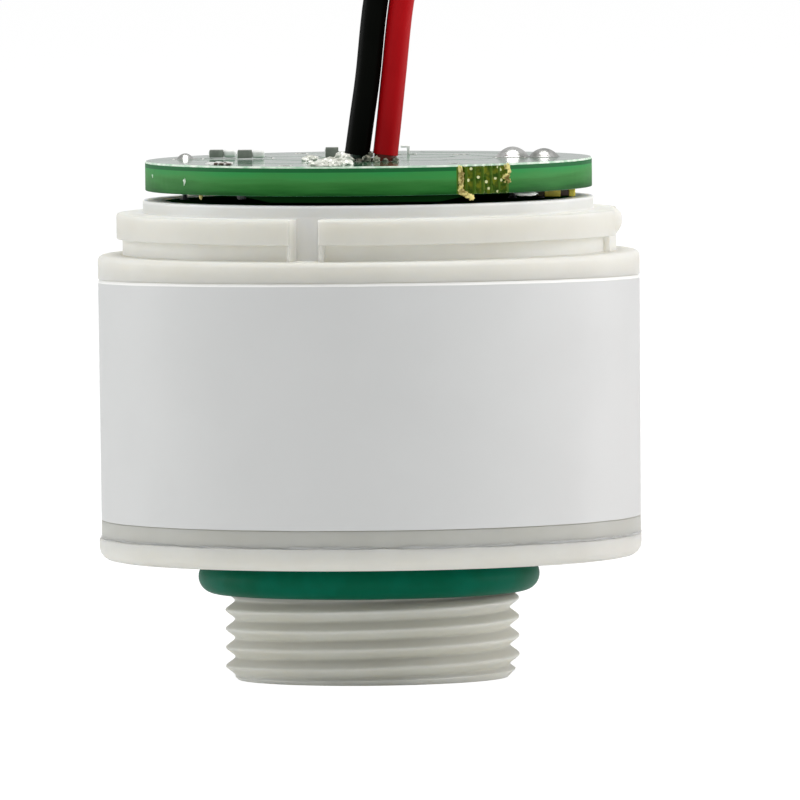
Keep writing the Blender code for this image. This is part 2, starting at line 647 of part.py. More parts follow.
def make_leads():
    """Both leads from the board to the coil, and on from the coil into the connector."""
    connector_middle = COIL_CENTRE[0] + COIL_MIDDLE_RADIUS
    entry_y = CONNECTOR_REAR_Y - LEAD_IN_CAVITY
    tail_z = COIL_TOP - LEAD_RADIUS
    leads = (
        ("black", LEAD_BLACK_FOOT, BLACK_ROUTE, -1, black_insulation),
        ("red", LEAD_RED_FOOT, RED_ROUTE, 1, red_insulation),
    )
    for name, foot, route, side, finish in leads:
        make_lead_foot(name, foot)
        tube(f"{name}_lead", smooth_route(route, LEAD_SAMPLE), LEAD_RADIUS, finish)
        leave = coil_clearance(COIL_MIDDLE_RADIUS + side * COIL_PAIR_SPACING / 2)
        start = Vector((connector_middle + side * COIL_PAIR_SPACING / 2, COIL_CENTRE[1] - leave, tail_z))
        end = Vector((connector_middle + side * CONTACT_PITCH / 2, entry_y, CAVITY_HEIGHT))
        mouth = Vector((end.x, CONNECTOR_REAR_Y, CAVITY_HEIGHT))
        middle = start.lerp(mouth, 0.5)
        tube(f"{name}_tail", smooth_route((start, middle, mouth, end), LEAD_SAMPLE / 2), LEAD_RADIUS, finish)
        make_contact(name, end)


def coil_clearance(radius):
    """How far along a tangent at this radius a lead is clear of the coil's solid."""
    outer = COIL_MIDDLE_RADIUS + COIL_HALF_WIDTH + CORD_GAP
    return math.sqrt(outer**2 - (radius - LEAD_RADIUS) ** 2)


def make_coil():
    """The outer shape of the two leads' turns, laid side by side in two layers, and the tie round them."""
    inner = COIL_MIDDLE_RADIUS - COIL_HALF_WIDTH
    outer = COIL_MIDDLE_RADIUS + COIL_HALF_WIDTH
    corner = LEAD_RADIUS / 2
    profile = (
        (inner + corner, COIL_BOTTOM),
        (outer - corner, COIL_BOTTOM),
        (outer, COIL_BOTTOM + corner),
        (outer, COIL_TOP - corner),
        (outer - corner, COIL_TOP),
        (inner + corner, COIL_TOP),
        (inner, COIL_TOP - corner),
        (inner, COIL_BOTTOM + corner),
    )
    turned("lead_coil", profile, black_insulation, INNER_STEPS, (*COIL_CENTRE, 0.0))
    hole = (TIE_WIDTH + 2 * CUT_MARGIN, 2 * (COIL_HALF_WIDTH + TIE_GAP), COIL_TOP + TIE_GAP - TIE_THICKNESS)
    size = (TIE_WIDTH, hole[1] + 2 * TIE_THICKNESS, hole[2] + 2 * TIE_THICKNESS)
    angle = math.radians(TIE_AZIMUTH)
    place = (
        COIL_CENTRE[0] + COIL_MIDDLE_RADIUS * math.cos(angle),
        COIL_CENTRE[1] + COIL_MIDDLE_RADIUS * math.sin(angle),
        0.0,
    )
    tie = placed("lead_tie", block_mesh(size, 0.0, 0.0), black_rubber, place, TIE_AZIMUTH - 90.0)
    opening = placed("tie_opening", block_mesh(hole, TIE_THICKNESS, 0.0), black_rubber, place, TIE_AZIMUTH - 90.0)
    combine(tie, opening, "DIFFERENCE")


def make_contact(name, lead_end):
    """A crimped contact in the connector, in front of a lead's end."""
    bm = block_mesh(CONTACT_SIZE, lead_end.z - CONTACT_SIZE[2] / 2, CHIP_EDGE)
    middle_y = lead_end.y - CORD_GAP - CONTACT_SIZE[1] / 2
    placed(f"{name}_contact", bm, bare_wire, (lead_end.x, middle_y, 0.0))


def make_connector():
    """The two-way socket housing on the leads' far end, lying on the floor."""
    middle_x = COIL_CENTRE[0] + COIL_MIDDLE_RADIUS
    middle_y = CONNECTOR_REAR_Y - CONNECTOR_SIZE[1] / 2
    housing = placed(
        "connector_housing",
        block_mesh(CONNECTOR_SIZE, 0.0, CONNECTOR_WALL_EDGE),
        black_nylon,
        (middle_x, middle_y, 0.0),
    )
    cavity = (CAVITY_SIZE, CONNECTOR_SIZE[1] + 2 * CUT_MARGIN, CAVITY_SIZE)
    for side in (-1, 1):
        bm = block_mesh(cavity, CAVITY_HEIGHT - CAVITY_SIZE / 2, 0.0)
        place = (middle_x + side * CONTACT_PITCH / 2, middle_y, 0.0)
        combine(housing, placed(f"cavity_{side}", bm, black_nylon, place), "DIFFERENCE")


for leftover in list(bpy.data.objects):
    bpy.data.objects.remove(leftover)

warm_plastic = material("warm_white_plastic", (0.60, 0.60, 0.55), 0.45)
label_film = material("label_film", (0.66, 0.67, 0.68), 0.35)
teal_rubber = material("teal_rubber", (0.004, 0.14, 0.08), 0.4)
black_rubber = material("black_rubber", (0.015, 0.015, 0.015), 0.6)
white_felt = material("white_felt", (0.75, 0.74, 0.70), 0.9)
clear_film = material("clear_film", (0.80, 0.80, 0.78), 0.2)
gold = material("gold_plate", (0.83, 0.61, 0.22), 0.3, 1.0)
grey_lead = material("sintered_lead", (0.14, 0.14, 0.15), 0.7, 0.6)
bare_wire = material("tinned_wire", (0.62, 0.61, 0.58), 0.35, 1.0)
solder = material("solder", (0.70, 0.70, 0.69), 0.25, 1.0)
black_resin = material("black_resin", (0.01, 0.01, 0.01), 0.35)
green_board = material("green_board", (0.02, 0.19, 0.05), 0.35)
grey_chip = material("grey_chip", (0.16, 0.16, 0.16), 0.5)
brown_chip = material("brown_chip", (0.25, 0.13, 0.03), 0.45)
black_insulation = material("black_insulation", (0.008, 0.008, 0.008), 0.35)
red_insulation = material("red_insulation", (0.36, 0.01, 0.01), 0.35)
black_nylon = material("black_nylon", (0.02, 0.02, 0.02), 0.5)

make_base_cap()
make_housing_can()
make_o_ring()
make_label()
make_membrane_stack()
make_anode_and_bulkhead()
make_inner_wires()
make_board()
make_pins()
make_chips()
make_leads()
make_coil()
make_connector()
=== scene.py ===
# %% [markdown]
# # A galvanic oxygen sensor cell
#
# A small round cell that makes a voltage from the oxygen round it. It has a moulded can with a
# label, a threaded gas inlet with a sealing ring, and a round circuit board with two leads on top.
# The solid model is loaded first as a fixed frame. Everything after it is looks: finer shapes that
# stand for the plain solids, and materials made only of nodes.

# %% Open the frame
import math
import random

import bmesh
import bpy
from mathutils import Matrix, Vector, noise


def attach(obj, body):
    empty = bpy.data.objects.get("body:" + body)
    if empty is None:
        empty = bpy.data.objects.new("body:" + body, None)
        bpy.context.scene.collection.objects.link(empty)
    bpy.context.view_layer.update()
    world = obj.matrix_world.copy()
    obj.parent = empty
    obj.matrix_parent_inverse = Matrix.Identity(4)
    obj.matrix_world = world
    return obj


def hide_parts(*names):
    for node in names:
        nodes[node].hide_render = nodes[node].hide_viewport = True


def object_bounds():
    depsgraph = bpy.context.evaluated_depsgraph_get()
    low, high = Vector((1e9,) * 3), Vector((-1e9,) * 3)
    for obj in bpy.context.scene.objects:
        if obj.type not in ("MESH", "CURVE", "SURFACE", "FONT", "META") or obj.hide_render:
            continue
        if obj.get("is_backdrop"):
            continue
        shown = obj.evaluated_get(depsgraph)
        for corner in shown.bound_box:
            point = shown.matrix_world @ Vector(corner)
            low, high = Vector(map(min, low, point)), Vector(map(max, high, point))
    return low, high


MM = 0.001

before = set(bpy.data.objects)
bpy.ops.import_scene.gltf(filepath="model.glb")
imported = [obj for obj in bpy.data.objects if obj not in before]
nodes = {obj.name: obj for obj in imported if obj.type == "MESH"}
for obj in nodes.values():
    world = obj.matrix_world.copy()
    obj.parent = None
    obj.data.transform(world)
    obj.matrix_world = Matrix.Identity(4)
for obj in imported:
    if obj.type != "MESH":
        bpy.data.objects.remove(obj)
cad_box = [list(corner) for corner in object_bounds()]
print("solids loaded:", len(nodes))

# %% [markdown]
# ## The camera
#
# The cell was seen from far away through a long lens, a little from above, so that its round edges
# are very flat ellipses. A long lens at one metre gives the same flatness. The cell leans a fraction
# of a degree in the picture, and a roll of the camera copies that without tilting the model.

# %% Camera at the photograph's viewing angle
CAMERA_PLACE = Vector((1.62, -1000.0, 62.84)) * MM
CAMERA_AIM = Vector((1.62, 0.0, 15.04)) * MM
CAMERA_ROLL = -0.6
CAMERA_LENS = 831.3

camera_data = bpy.data.cameras.new("photo_camera")
camera_data.sensor_width = 36.0
camera_data.lens = CAMERA_LENS
camera_data.clip_start = 0.01
camera_data.clip_end = 30.0
camera = bpy.data.objects.new("photo_camera", camera_data)
bpy.context.scene.collection.objects.link(camera)
facing = (CAMERA_AIM - CAMERA_PLACE).to_track_quat("-Z", "Y").to_matrix()
turned_camera = facing @ Matrix.Rotation(math.radians(CAMERA_ROLL), 3, "Z")
camera.location = CAMERA_PLACE
camera.rotation_euler = turned_camera.to_euler()
bpy.context.scene.camera = camera
bpy.context.scene.view_settings.view_transform = "Standard"
print("camera distance in mm:", round((CAMERA_AIM - CAMERA_PLACE).length / MM))

# %% [markdown]
# ## Shared effects for the materials
#
# Real surfaces are never one flat colour. Three small node groups are built once and used by nearly
# every material: cloudy patches of a second colour, a fine grain for the bump, and scattered specks.
# They read Object coordinates, so the pattern stays on the piece from every side.

# %% A helper that starts a node group with named sockets
def start_group(name, inputs, outputs):
    """A shader node group. Inputs are (name, kind, default) and outputs are (name, kind)."""
    group = bpy.data.node_groups.new(name, "ShaderNodeTree")
    for label, kind, default in inputs:
        socket = group.interface.new_socket(name=label, in_out="INPUT", socket_type=kind)
        socket.default_value = default
    for label, kind in outputs:
        group.interface.new_socket(name=label, in_out="OUTPUT", socket_type=kind)
    return group, group.nodes.new("NodeGroupInput"), group.nodes.new("NodeGroupOutput")


def math_node(tree, operation, first, second, clamp=False):
    """A Math node whose two inputs are links or plain numbers."""
    made = tree.nodes.new("ShaderNodeMath")
    made.operation = operation
    made.use_clamp = clamp
    for slot, value in enumerate((first, second)):
        if isinstance(value, (int, float)):
            made.inputs[slot].default_value = value
        else:
            tree.links.new(value, made.inputs[slot])
    return made.outputs[0]


def spread(tree, value, low, high):
    """Map low..high of a value to 0..1, smoothly and clamped."""
    made = tree.nodes.new("ShaderNodeMapRange")
    made.interpolation_type = "SMOOTHSTEP"
    made.inputs["From Min"].default_value = low
    made.inputs["From Max"].default_value = high
    tree.links.new(value, made.inputs["Value"])
    return made.outputs["Result"]


def mix_colours(tree, factor, first, second, blend="MIX"):
    """A Mix node for colours, whose inputs are links or plain values."""
    made = tree.nodes.new("ShaderNodeMix")
    made.data_type = "RGBA"
    made.blend_type = blend
    for slot, value in ((0, factor), (6, first), (7, second)):
        if isinstance(value, bpy.types.NodeSocket):
            tree.links.new(value, made.inputs[slot])
        else:
            made.inputs[slot].default_value = value
    return made.outputs[2]


def object_height(tree):
    """The height of a point in its piece's own coordinates, in metres."""
    place = tree.nodes.new("ShaderNodeTexCoord")
    axes = tree.nodes.new("ShaderNodeSeparateXYZ")
    tree.links.new(place.outputs["Object"], axes.inputs["Vector"])
    return axes.outputs["Z"]


print("group helpers ready")

# %% Cloudy patches of a second colour
COLOUR = "NodeSocketColor"
NUMBER = "NodeSocketFloat"
CLOUDS_FROM = 0.35
CLOUDS_TO = 0.68


def make_patches():
    """Clouds of a second colour. Their mask goes out too, for the roughness."""
    inputs = (
        ("Colour", COLOUR, (0.8, 0.8, 0.8, 1.0)),
        ("Patch Colour", COLOUR, (0.6, 0.6, 0.6, 1.0)),
        ("Scale", NUMBER, 300.0),
        ("Amount", NUMBER, 0.5),
    )
    group, given, result = start_group("patches", inputs, (("Colour", COLOUR), ("Mask", NUMBER)))
    place = group.nodes.new("ShaderNodeTexCoord")
    clouds = group.nodes.new("ShaderNodeTexNoise")
    clouds.inputs["Detail"].default_value = 4.0
    group.links.new(place.outputs["Object"], clouds.inputs["Vector"])
    group.links.new(given.outputs["Scale"], clouds.inputs["Scale"])
    cloudy = spread(group, clouds.outputs["Fac"], CLOUDS_FROM, CLOUDS_TO)
    mask = math_node(group, "MULTIPLY", cloudy, given.outputs["Amount"])
    colour = mix_colours(group, mask, given.outputs["Colour"], given.outputs["Patch Colour"])
    group.links.new(colour, result.inputs["Colour"])
    group.links.new(mask, result.inputs["Mask"])
    return group


patches = make_patches()
print("made group:", patches.name)

# %% Fine grain for bump
def make_grain():
    """Two noises of different fineness, added to one height."""
    inputs = (("Scale", NUMBER, 4000.0), ("Fine Share", NUMBER, 0.4))
    group, given, result = start_group("grain", inputs, (("Height", NUMBER),))
    place = group.nodes.new("ShaderNodeTexCoord")
    coarse = group.nodes.new("ShaderNodeTexNoise")
    fine = group.nodes.new("ShaderNodeTexNoise")
    for made in (coarse, fine):
        made.inputs["Detail"].default_value = 3.0
        group.links.new(place.outputs["Object"], made.inputs["Vector"])
    group.links.new(given.outputs["Scale"], coarse.inputs["Scale"])
    group.links.new(math_node(group, "MULTIPLY", given.outputs["Scale"], 4.3), fine.inputs["Scale"])
    share = math_node(group, "MULTIPLY", fine.outputs["Fac"], given.outputs["Fine Share"])
    group.links.new(math_node(group, "ADD", coarse.outputs["Fac"], share), result.inputs["Height"])
    return group


grain = make_grain()
print("made group:", grain.name)

# %% Scattered specks
def make_specks():
    """Round specks of another colour at the middles of Voronoi cells."""
    inputs = (
        ("Colour", COLOUR, (0.8, 0.8, 0.8, 1.0)),
        ("Speck Colour", COLOUR, (0.1, 0.1, 0.1, 1.0)),
        ("Scale", NUMBER, 900.0),
        ("Size", NUMBER, 0.12),
    )
    group, given, result = start_group("specks", inputs, (("Colour", COLOUR), ("Mask", NUMBER)))
    place = group.nodes.new("ShaderNodeTexCoord")
    cells = group.nodes.new("ShaderNodeTexVoronoi")
    group.links.new(place.outputs["Object"], cells.inputs["Vector"])
    group.links.new(given.outputs["Scale"], cells.inputs["Scale"])
    mask = math_node(group, "LESS_THAN", cells.outputs["Distance"], given.outputs["Size"])
    colour = mix_colours(group, mask, given.outputs["Colour"], given.outputs["Speck Colour"])
    group.links.new(colour, result.inputs["Colour"])
    group.links.new(mask, result.inputs["Mask"])
    return group


specks = make_specks()
print("made group:", specks.name)

# %% [markdown]
# ## A maker of finishes
#
# A finish here is a Principled shader with the shared groups in front of it. The plain numbers, such
# as coat and specular level, are set on the shader's own sockets. Roughness varies a little with
# the same patches as the colour, as a handled surface does.

# %% Build one finish from plain numbers
def group_node(tree, group, values):
    """Place a shared group in a material and set its named inputs."""
    made = tree.nodes.new("ShaderNodeGroup")
    made.node_tree = group
    for label, value in values.items():
        made.inputs[label].default_value = value
    return made


def make_finish(name, colour, patch, roughness, **more):
    """colour and patch are linear RGB; roughness is (smooth, rough). More sets the rest."""
    material = bpy.data.materials.new(name)
    material.use_nodes = True
    tree = material.node_tree
    shader = tree.nodes["Principled BSDF"]
    shader.inputs["Metallic"].default_value = more.get("metallic", 0.0)
    shader.inputs["Coat Weight"].default_value = more.get("coat", 0.0)
    shader.inputs["Coat Roughness"].default_value = more.get("coat_roughness", 0.1)
    shader.inputs["Subsurface Weight"].default_value = more.get("subsurface", 0.0)
    shader.inputs["Subsurface Scale"].default_value = more.get("subsurface_scale", 0.0005)
    shader.inputs["Subsurface Radius"].default_value = (1.0, 0.92, 0.78)
    shader.inputs["Specular IOR Level"].default_value = more.get("specular", 0.5)
    patch_values = {
        "Colour": (*colour, 1.0),
        "Patch Colour": (*patch, 1.0),
        "Scale": more.get("patch_scale", 350.0),
        "Amount": more.get("patch_amount", 0.6),
    }
    clouds = group_node(tree, patches, patch_values)
    colour_out = clouds.outputs["Colour"]
    if "speck" in more:
        speck_values = {
            "Speck Colour": (*more["speck"], 1.0),
            "Scale": more.get("speck_scale", 900.0),
            "Size": more.get("speck_size", 0.1),
        }
        dots = group_node(tree, specks, speck_values)
        tree.links.new(colour_out, dots.inputs["Colour"])
        colour_out = dots.outputs["Colour"]
    tree.links.new(colour_out, shader.inputs["Base Color"])
    smooth, rough = roughness
    spread_by = math_node(tree, "MULTIPLY", clouds.outputs["Mask"], rough - smooth)
    tree.links.new(math_node(tree, "ADD", spread_by, smooth), shader.inputs["Roughness"])
    grain_values = {"Scale": more.get("grain_scale", 5000.0), "Fine Share": more.get("fine_share", 0.4)}
    texture = group_node(tree, grain, grain_values)
    bump = tree.nodes.new("ShaderNodeBump")
    bump.inputs["Distance"].default_value = more.get("grain_depth", 0.004) * MM
    bump.inputs["Strength"].default_value = 1.0
    tree.links.new(texture.outputs["Height"], bump.inputs["Height"])
    tree.links.new(bump.outputs["Normal"], shader.inputs["Normal"])
    return material


print("finish maker ready")

# %% The finishes of the cell
can_plastic = make_finish(
    "can_plastic", (0.66, 0.655, 0.605), (0.61, 0.60, 0.54), (0.50, 0.60), patch_scale=260.0,
    patch_amount=0.5, specular=0.35, subsurface=0.7, subsurface_scale=0.0022, grain_scale=6000.0,
    grain_depth=0.005,
)
label_film = make_finish(
    "label_film", (0.632, 0.641, 0.636), (0.608, 0.617, 0.612), (0.50, 0.58), patch_scale=180.0,
    patch_amount=0.5, specular=0.3, grain_scale=2500.0, grain_depth=0.003,
)
# A painted highlight for the label's cut upper edge.
label_edge_highlight = make_finish(
    "label_edge_highlight", (0.93, 0.93, 0.91), (0.86, 0.86, 0.84), (0.50, 0.58), patch_scale=180.0,
    patch_amount=0.5,
)
ring_rubber = make_finish(
    "ring_rubber", (0.0002, 0.105, 0.055), (0.0005, 0.14, 0.085), (0.42, 0.5), patch_scale=500.0,
    patch_amount=0.6, specular=0.05, grain_scale=7000.0, grain_depth=0.006,
)
lacquer_green = make_finish(
    "lacquer_green", (0.028, 0.16, 0.075), (0.02, 0.12, 0.06), (0.10, 0.2), patch_scale=420.0,
    patch_amount=0.7, coat=0.6, coat_roughness=0.08, grain_scale=3500.0, grain_depth=0.003,
)
trace_green = make_finish(
    "trace_green", (0.05, 0.24, 0.10), (0.04, 0.20, 0.08), (0.12, 0.2), patch_scale=420.0,
    patch_amount=0.7, coat=0.6, coat_roughness=0.08, grain_scale=3500.0, grain_depth=0.003,
)
# Pale specks on the half holes' olive walls: partly gold plating, partly painted glints.
plated_holes = make_finish(
    "plated_holes", (0.030, 0.085, 0.003), (0.19, 0.22, 0.015), (0.25, 0.5), specular=0.1,
    patch_scale=3200.0, patch_amount=0.9, speck=(0.88, 0.90, 0.50), speck_scale=2700.0, speck_size=0.23,
    grain_scale=9000.0, grain_depth=0.03,
)
olive_laminate = make_finish(
    "olive_laminate", (0.070, 0.14, 0.012), (0.040, 0.09, 0.006), (0.4, 0.55), patch_scale=2400.0,
    patch_amount=0.8, specular=0.08, grain_scale=6000.0, grain_depth=0.015,
)
torn_gold = make_finish(
    "torn_gold", (0.88, 0.78, 0.30), (0.12, 0.075, 0.004), (0.22, 0.45), specular=0.2, patch_scale=2600.0,
    patch_amount=0.95, grain_scale=8000.0, grain_depth=0.03,
)
bright_solder = make_finish(
    "bright_solder", (0.74, 0.74, 0.72), (0.26, 0.27, 0.25), (0.20, 0.34), metallic=1.0,
    patch_scale=900.0, patch_amount=0.9, grain_scale=3000.0, grain_depth=0.01,
)
crusty_solder = make_finish(
    "crusty_solder", (0.93, 0.94, 0.86), (0.22, 0.24, 0.17), (0.25, 0.5), metallic=0.1,
    patch_scale=1700.0, patch_amount=0.62, grain_scale=3500.0, grain_depth=0.012,
)
dirty_solder = make_finish(
    "dirty_solder", (0.28, 0.29, 0.22), (0.02, 0.022, 0.012), (0.3, 0.6), metallic=0.2,
    patch_scale=1900.0, patch_amount=0.95, grain_scale=4500.0, grain_depth=0.02,
)
teal_core = make_finish(
    "teal_core", (0.012, 0.035, 0.022), (0.03, 0.07, 0.05), (0.3, 0.5), patch_scale=1500.0, specular=0.2,
    grain_scale=5000.0, grain_depth=0.02,
)
red_core = make_finish(
    "red_core", (0.075, 0.012, 0.006), (0.16, 0.02, 0.012), (0.4, 0.6), patch_scale=1500.0, specular=0.2,
    grain_scale=5000.0, grain_depth=0.02,
)
tinned_copper = make_finish(
    "tinned_copper", (0.60, 0.59, 0.56), (0.45, 0.42, 0.37), (0.25, 0.4), metallic=1.0,
    patch_scale=1800.0, grain_scale=5000.0, grain_depth=0.01,
)
chip_grey = make_finish(
    "chip_grey", (0.26, 0.285, 0.25), (0.17, 0.19, 0.165), (0.45, 0.6), patch_scale=1900.0, specular=0.3,
    grain_scale=9000.0, grain_depth=0.008,
)
chip_silver = make_finish(
    "chip_silver", (0.95, 0.96, 0.93), (0.78, 0.79, 0.76), (0.45, 0.6), patch_scale=2400.0,
    grain_scale=6000.0, grain_depth=0.012,
)
sensor_brown = make_finish(
    "sensor_brown", (0.045, 0.020, 0.008), (0.09, 0.045, 0.012), (0.35, 0.5), patch_scale=2200.0,
    grain_scale=7000.0, grain_depth=0.01,
)
# A dark olive for a block of painted shadow beside the sensor's left end.
sensor_shadow_olive = make_finish(
    "sensor_shadow_olive", (0.06, 0.05, 0.008), (0.11, 0.09, 0.02), (0.4, 0.55), patch_scale=2200.0,
    grain_scale=7000.0, grain_depth=0.01,
)
sensor_gold = make_finish(
    "sensor_gold", (0.92, 0.80, 0.10), (0.70, 0.58, 0.06), (0.3, 0.5), metallic=0.1, patch_scale=2000.0,
    grain_scale=6000.0, grain_depth=0.015,
)
black_sheath = make_finish(
    "black_sheath", (0.0012, 0.0016, 0.001), (0.002, 0.0025, 0.0017), (0.42, 0.5), patch_scale=700.0,
    specular=0.025, grain_scale=3500.0, grain_depth=0.006,
)
red_sheath = make_finish(
    "red_sheath", (0.43, 0.003, 0.006), (0.39, 0.002, 0.005), (0.42, 0.5), patch_scale=700.0,
    specular=0.08, grain_scale=3500.0, grain_depth=0.006,
)
print("finishes so far:", len(bpy.data.materials))

# %% The finishes inside the cell and on the leads' far end
# Potting resin, nearly black; its green tint is painted light, as if lit through the board.
black_resin = make_finish(
    "black_resin", (0.0008, 0.055, 0.005), (0.0008, 0.022, 0.002), (0.6, 0.7), patch_scale=300.0,
    specular=0.0, grain_scale=1800.0, grain_depth=0.02,
)
# A dark green for the sheet of painted shade under the board's front edge.
painted_shade_green = make_finish(
    "painted_shade_green", (0.002, 0.022, 0.003), (0.001, 0.012, 0.002), (0.6, 0.7), patch_scale=300.0,
    specular=0.02,
)
black_rubber = make_finish(
    "black_rubber", (0.014, 0.014, 0.014), (0.022, 0.022, 0.021), (0.5, 0.65), patch_scale=600.0,
    grain_scale=5000.0, grain_depth=0.008,
)
white_felt = make_finish(
    "white_felt", (0.78, 0.77, 0.73), (0.66, 0.65, 0.60), (0.9, 1.0), patch_scale=1500.0,
    grain_scale=9000.0, grain_depth=0.06, fine_share=0.8,
)
clear_film = make_finish(
    "clear_film", (0.74, 0.75, 0.74), (0.68, 0.69, 0.68), (0.12, 0.2), patch_scale=400.0, coat=0.4,
    grain_scale=1500.0, grain_depth=0.002,
)
gold_electrode = make_finish(
    "gold_electrode", (0.80, 0.56, 0.20), (0.66, 0.44, 0.15), (0.25, 0.4), metallic=1.0,
    patch_scale=900.0, grain_scale=5000.0, grain_depth=0.015,
)
dull_lead = make_finish(
    "dull_lead", (0.16, 0.165, 0.17), (0.10, 0.10, 0.105), (0.55, 0.75), metallic=0.7, patch_scale=1100.0,
    grain_scale=7000.0, grain_depth=0.05, fine_share=0.8,
)
black_nylon = make_finish(
    "black_nylon", (0.016, 0.016, 0.017), (0.024, 0.024, 0.024), (0.4, 0.55), patch_scale=500.0,
    grain_scale=6500.0, grain_depth=0.008,
)
white_print = make_finish(
    "white_print", (0.72, 0.73, 0.70), (0.60, 0.61, 0.58), (0.5, 0.65), patch_scale=2500.0,
    grain_scale=7000.0, grain_depth=0.008,
)
print("finishes in all:", len(bpy.data.materials))

# %% [markdown]
# ## Turning a bmesh into a piece
#
# Nearly every part of this cell was turned, moulded round or punched from a disc. So the most used
# way here is a profile of a few points, its corners rounded with a vertex bevel, spun about Z.
# Each piece keeps its place in its mesh and rides on the one body of the model.

# %% Helpers for profiles and pieces
ROOT = "root"
WELD = 1e-7
SHARES = 12


def profile_wire(corners, closed=True):
    """A wire in the XZ plane. Corners are (radius, height, rounding), all in mm."""
    bm = bmesh.new()
    points = [bm.verts.new((radius * MM, 0.0, height * MM)) for radius, height, rounding in corners]
    pairs = list(zip(points, points[1:]))
    if closed:
        pairs.append((points[-1], points[0]))
    for first, second in pairs:
        bm.edges.new((first, second))
    for point, (radius, height, rounding) in zip(points, corners):
        if rounding > 0.0:
            bmesh.ops.bevel(
                bm, geom=[point], offset=rounding * MM, offset_type="OFFSET", segments=4, profile=0.5,
                affect="VERTICES", material=-1,
            )
    return bm


def divide_run(bm, low, high, radius, cuts):
    """Divide the upright profile edges between two heights at one radius, in mm."""
    chosen = []
    for edge in bm.edges:
        first, second = (vert.co for vert in edge.verts)
        inside = low * MM - 1e-6 < min(first.z, second.z) and max(first.z, second.z) < high * MM + 1e-6
        if inside and abs(first.x - radius * MM) < 1e-6 and abs(second.x - radius * MM) < 1e-6:
            chosen.append(edge)
    bmesh.ops.subdivide_edges(bm, edges=chosen, cuts=cuts)


def spin_full(bm, steps):
    """Spin a wire by a twelfth of a turn, copy that share round Z and merge where the shares meet."""
    bmesh.ops.spin(
        bm, geom=bm.verts[:] + bm.edges[:], cent=(0, 0, 0), axis=(0, 0, 1), angle=math.tau / SHARES,
        steps=steps // SHARES,
    )
    share = bm.verts[:] + bm.edges[:] + bm.faces[:]
    for index in range(1, SHARES):
        copied = bmesh.ops.duplicate(bm, geom=share)["geom"]
        points = [item for item in copied if isinstance(item, bmesh.types.BMVert)]
        turn = Matrix.Rotation(math.tau * index / SHARES, 3, "Z")
        bmesh.ops.rotate(bm, verts=points, cent=(0, 0, 0), matrix=turn)
    bmesh.ops.remove_doubles(bm, verts=bm.verts, dist=WELD)


def sweep(bm, azimuth, degrees, steps):
    """Turn a wire to an azimuth and spin it from there by some degrees about Z."""
    turn = Matrix.Rotation(math.radians(azimuth - 90.0), 3, "Z")
    bmesh.ops.rotate(bm, verts=bm.verts, cent=(0, 0, 0), matrix=turn)
    bmesh.ops.spin(
        bm, geom=bm.verts[:] + bm.edges[:], cent=(0, 0, 0), axis=(0, 0, 1), angle=math.radians(degrees),
        steps=steps,
    )


def make_piece(name, bm, finishes, sharp=32.0):
    """Turn a bmesh into a smooth-shaded object that rides on the cell."""
    bmesh.ops.recalc_face_normals(bm, faces=bm.faces)
    mesh = bpy.data.meshes.new(name)
    bm.to_mesh(mesh)
    bm.free()
    mesh.shade_smooth()
    mesh.set_sharp_from_angle(angle=math.radians(sharp))
    for finish in finishes:
        mesh.materials.append(finish)
    piece = bpy.data.objects.new(name, mesh)
    bpy.context.scene.collection.objects.link(piece)
    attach(piece, ROOT)
    return piece


def azimuth_of(vert):
    """Degrees from the camera side, positive towards +X."""
    return math.degrees(math.atan2(vert.co.x, -vert.co.y))


def set_radius(vert, radius):
    """Move a point to another distance from the axis, in metres."""
    now = math.hypot(vert.co.x, vert.co.y)
    vert.co.x *= radius / now
    vert.co.y *= radius / now


print("piece helpers ready")

# %% [markdown]
# ## The two leads
#
# Two stranded leads leave the board straight up, lean a little to the left and go out of the
# picture. Beyond it they bend over, come down beside the cell and are wound into a small tied coil
# that ends in a two-way connector. A lead is one open spline with a round bevel, through listed
# points and then round the coil by angle, because a spline holds its thickness in bends.

# %% Points of the leads' route, in mm
LEAD_RADIUS = 0.675
BLACK_ROUTE = (
    (-0.56, -4.0, 28.50), (-0.25, -4.0, 30.6), (0.08, -4.0, 32.85), (0.54, -4.0, 36.8),
    (1.40, -4.05, 41.2), (3.50, -4.3, 45.8), (7.20, -4.9, 49.9), (12.60, -5.8, 52.5), (18.60, -6.9, 52.4),
    (24.20, -8.1, 49.5), (28.20, -9.3, 44.1), (30.40, -10.4, 37.6), (31.15, -11.4, 30.4),
    (31.30, -12.2, 23.0), (31.30, -12.8, 15.6), (31.25, -12.8, 9.4), (31.20, -11.7, 4.6),
    (31.20, -9.2, 1.8), (31.20, -6.4, 1.08), (31.20, -4.6, 1.02),
)
RED_ROUTE = (
    (0.97, -4.0, 28.50), (1.22, -4.0, 30.6), (1.47, -4.0, 32.85), (1.94, -4.0, 36.8), (2.78, -4.05, 40.8),
    (4.65, -4.3, 44.9), (8.05, -4.9, 48.7), (12.85, -5.8, 51.1), (18.10, -6.9, 51.0), (23.15, -8.1, 48.4),
    (26.90, -9.3, 43.4), (29.00, -10.4, 37.3), (29.75, -11.4, 30.3), (29.90, -12.2, 23.0),
    (29.90, -12.8, 15.6), (29.85, -12.8, 9.4), (29.80, -11.7, 4.6), (29.80, -9.2, 1.8),
    (29.80, -6.4, 1.08), (29.80, -3.6, 1.02),
)
COIL_CENTRE = (38.0, 2.0)
COIL_LOW = 1.015
COIL_HIGH = 2.365
COIL_TURNS = 1.5
COIL_POINTS = 36
BLACK_COIL_RADIUS = 6.8
RED_COIL_RADIUS = 8.2
CLIMB_FROM = 235.0
CLIMB_TO = 325.0
CONNECTOR_REAR = -9.5
CONNECTOR_MIDDLE = 45.5
CONTACT_PITCH = 2.54
CAVITY_HEIGHT = 2.3
LEAD_IN_CAVITY = 2.5
print("route points:", len(BLACK_ROUTE), len(RED_ROUTE))
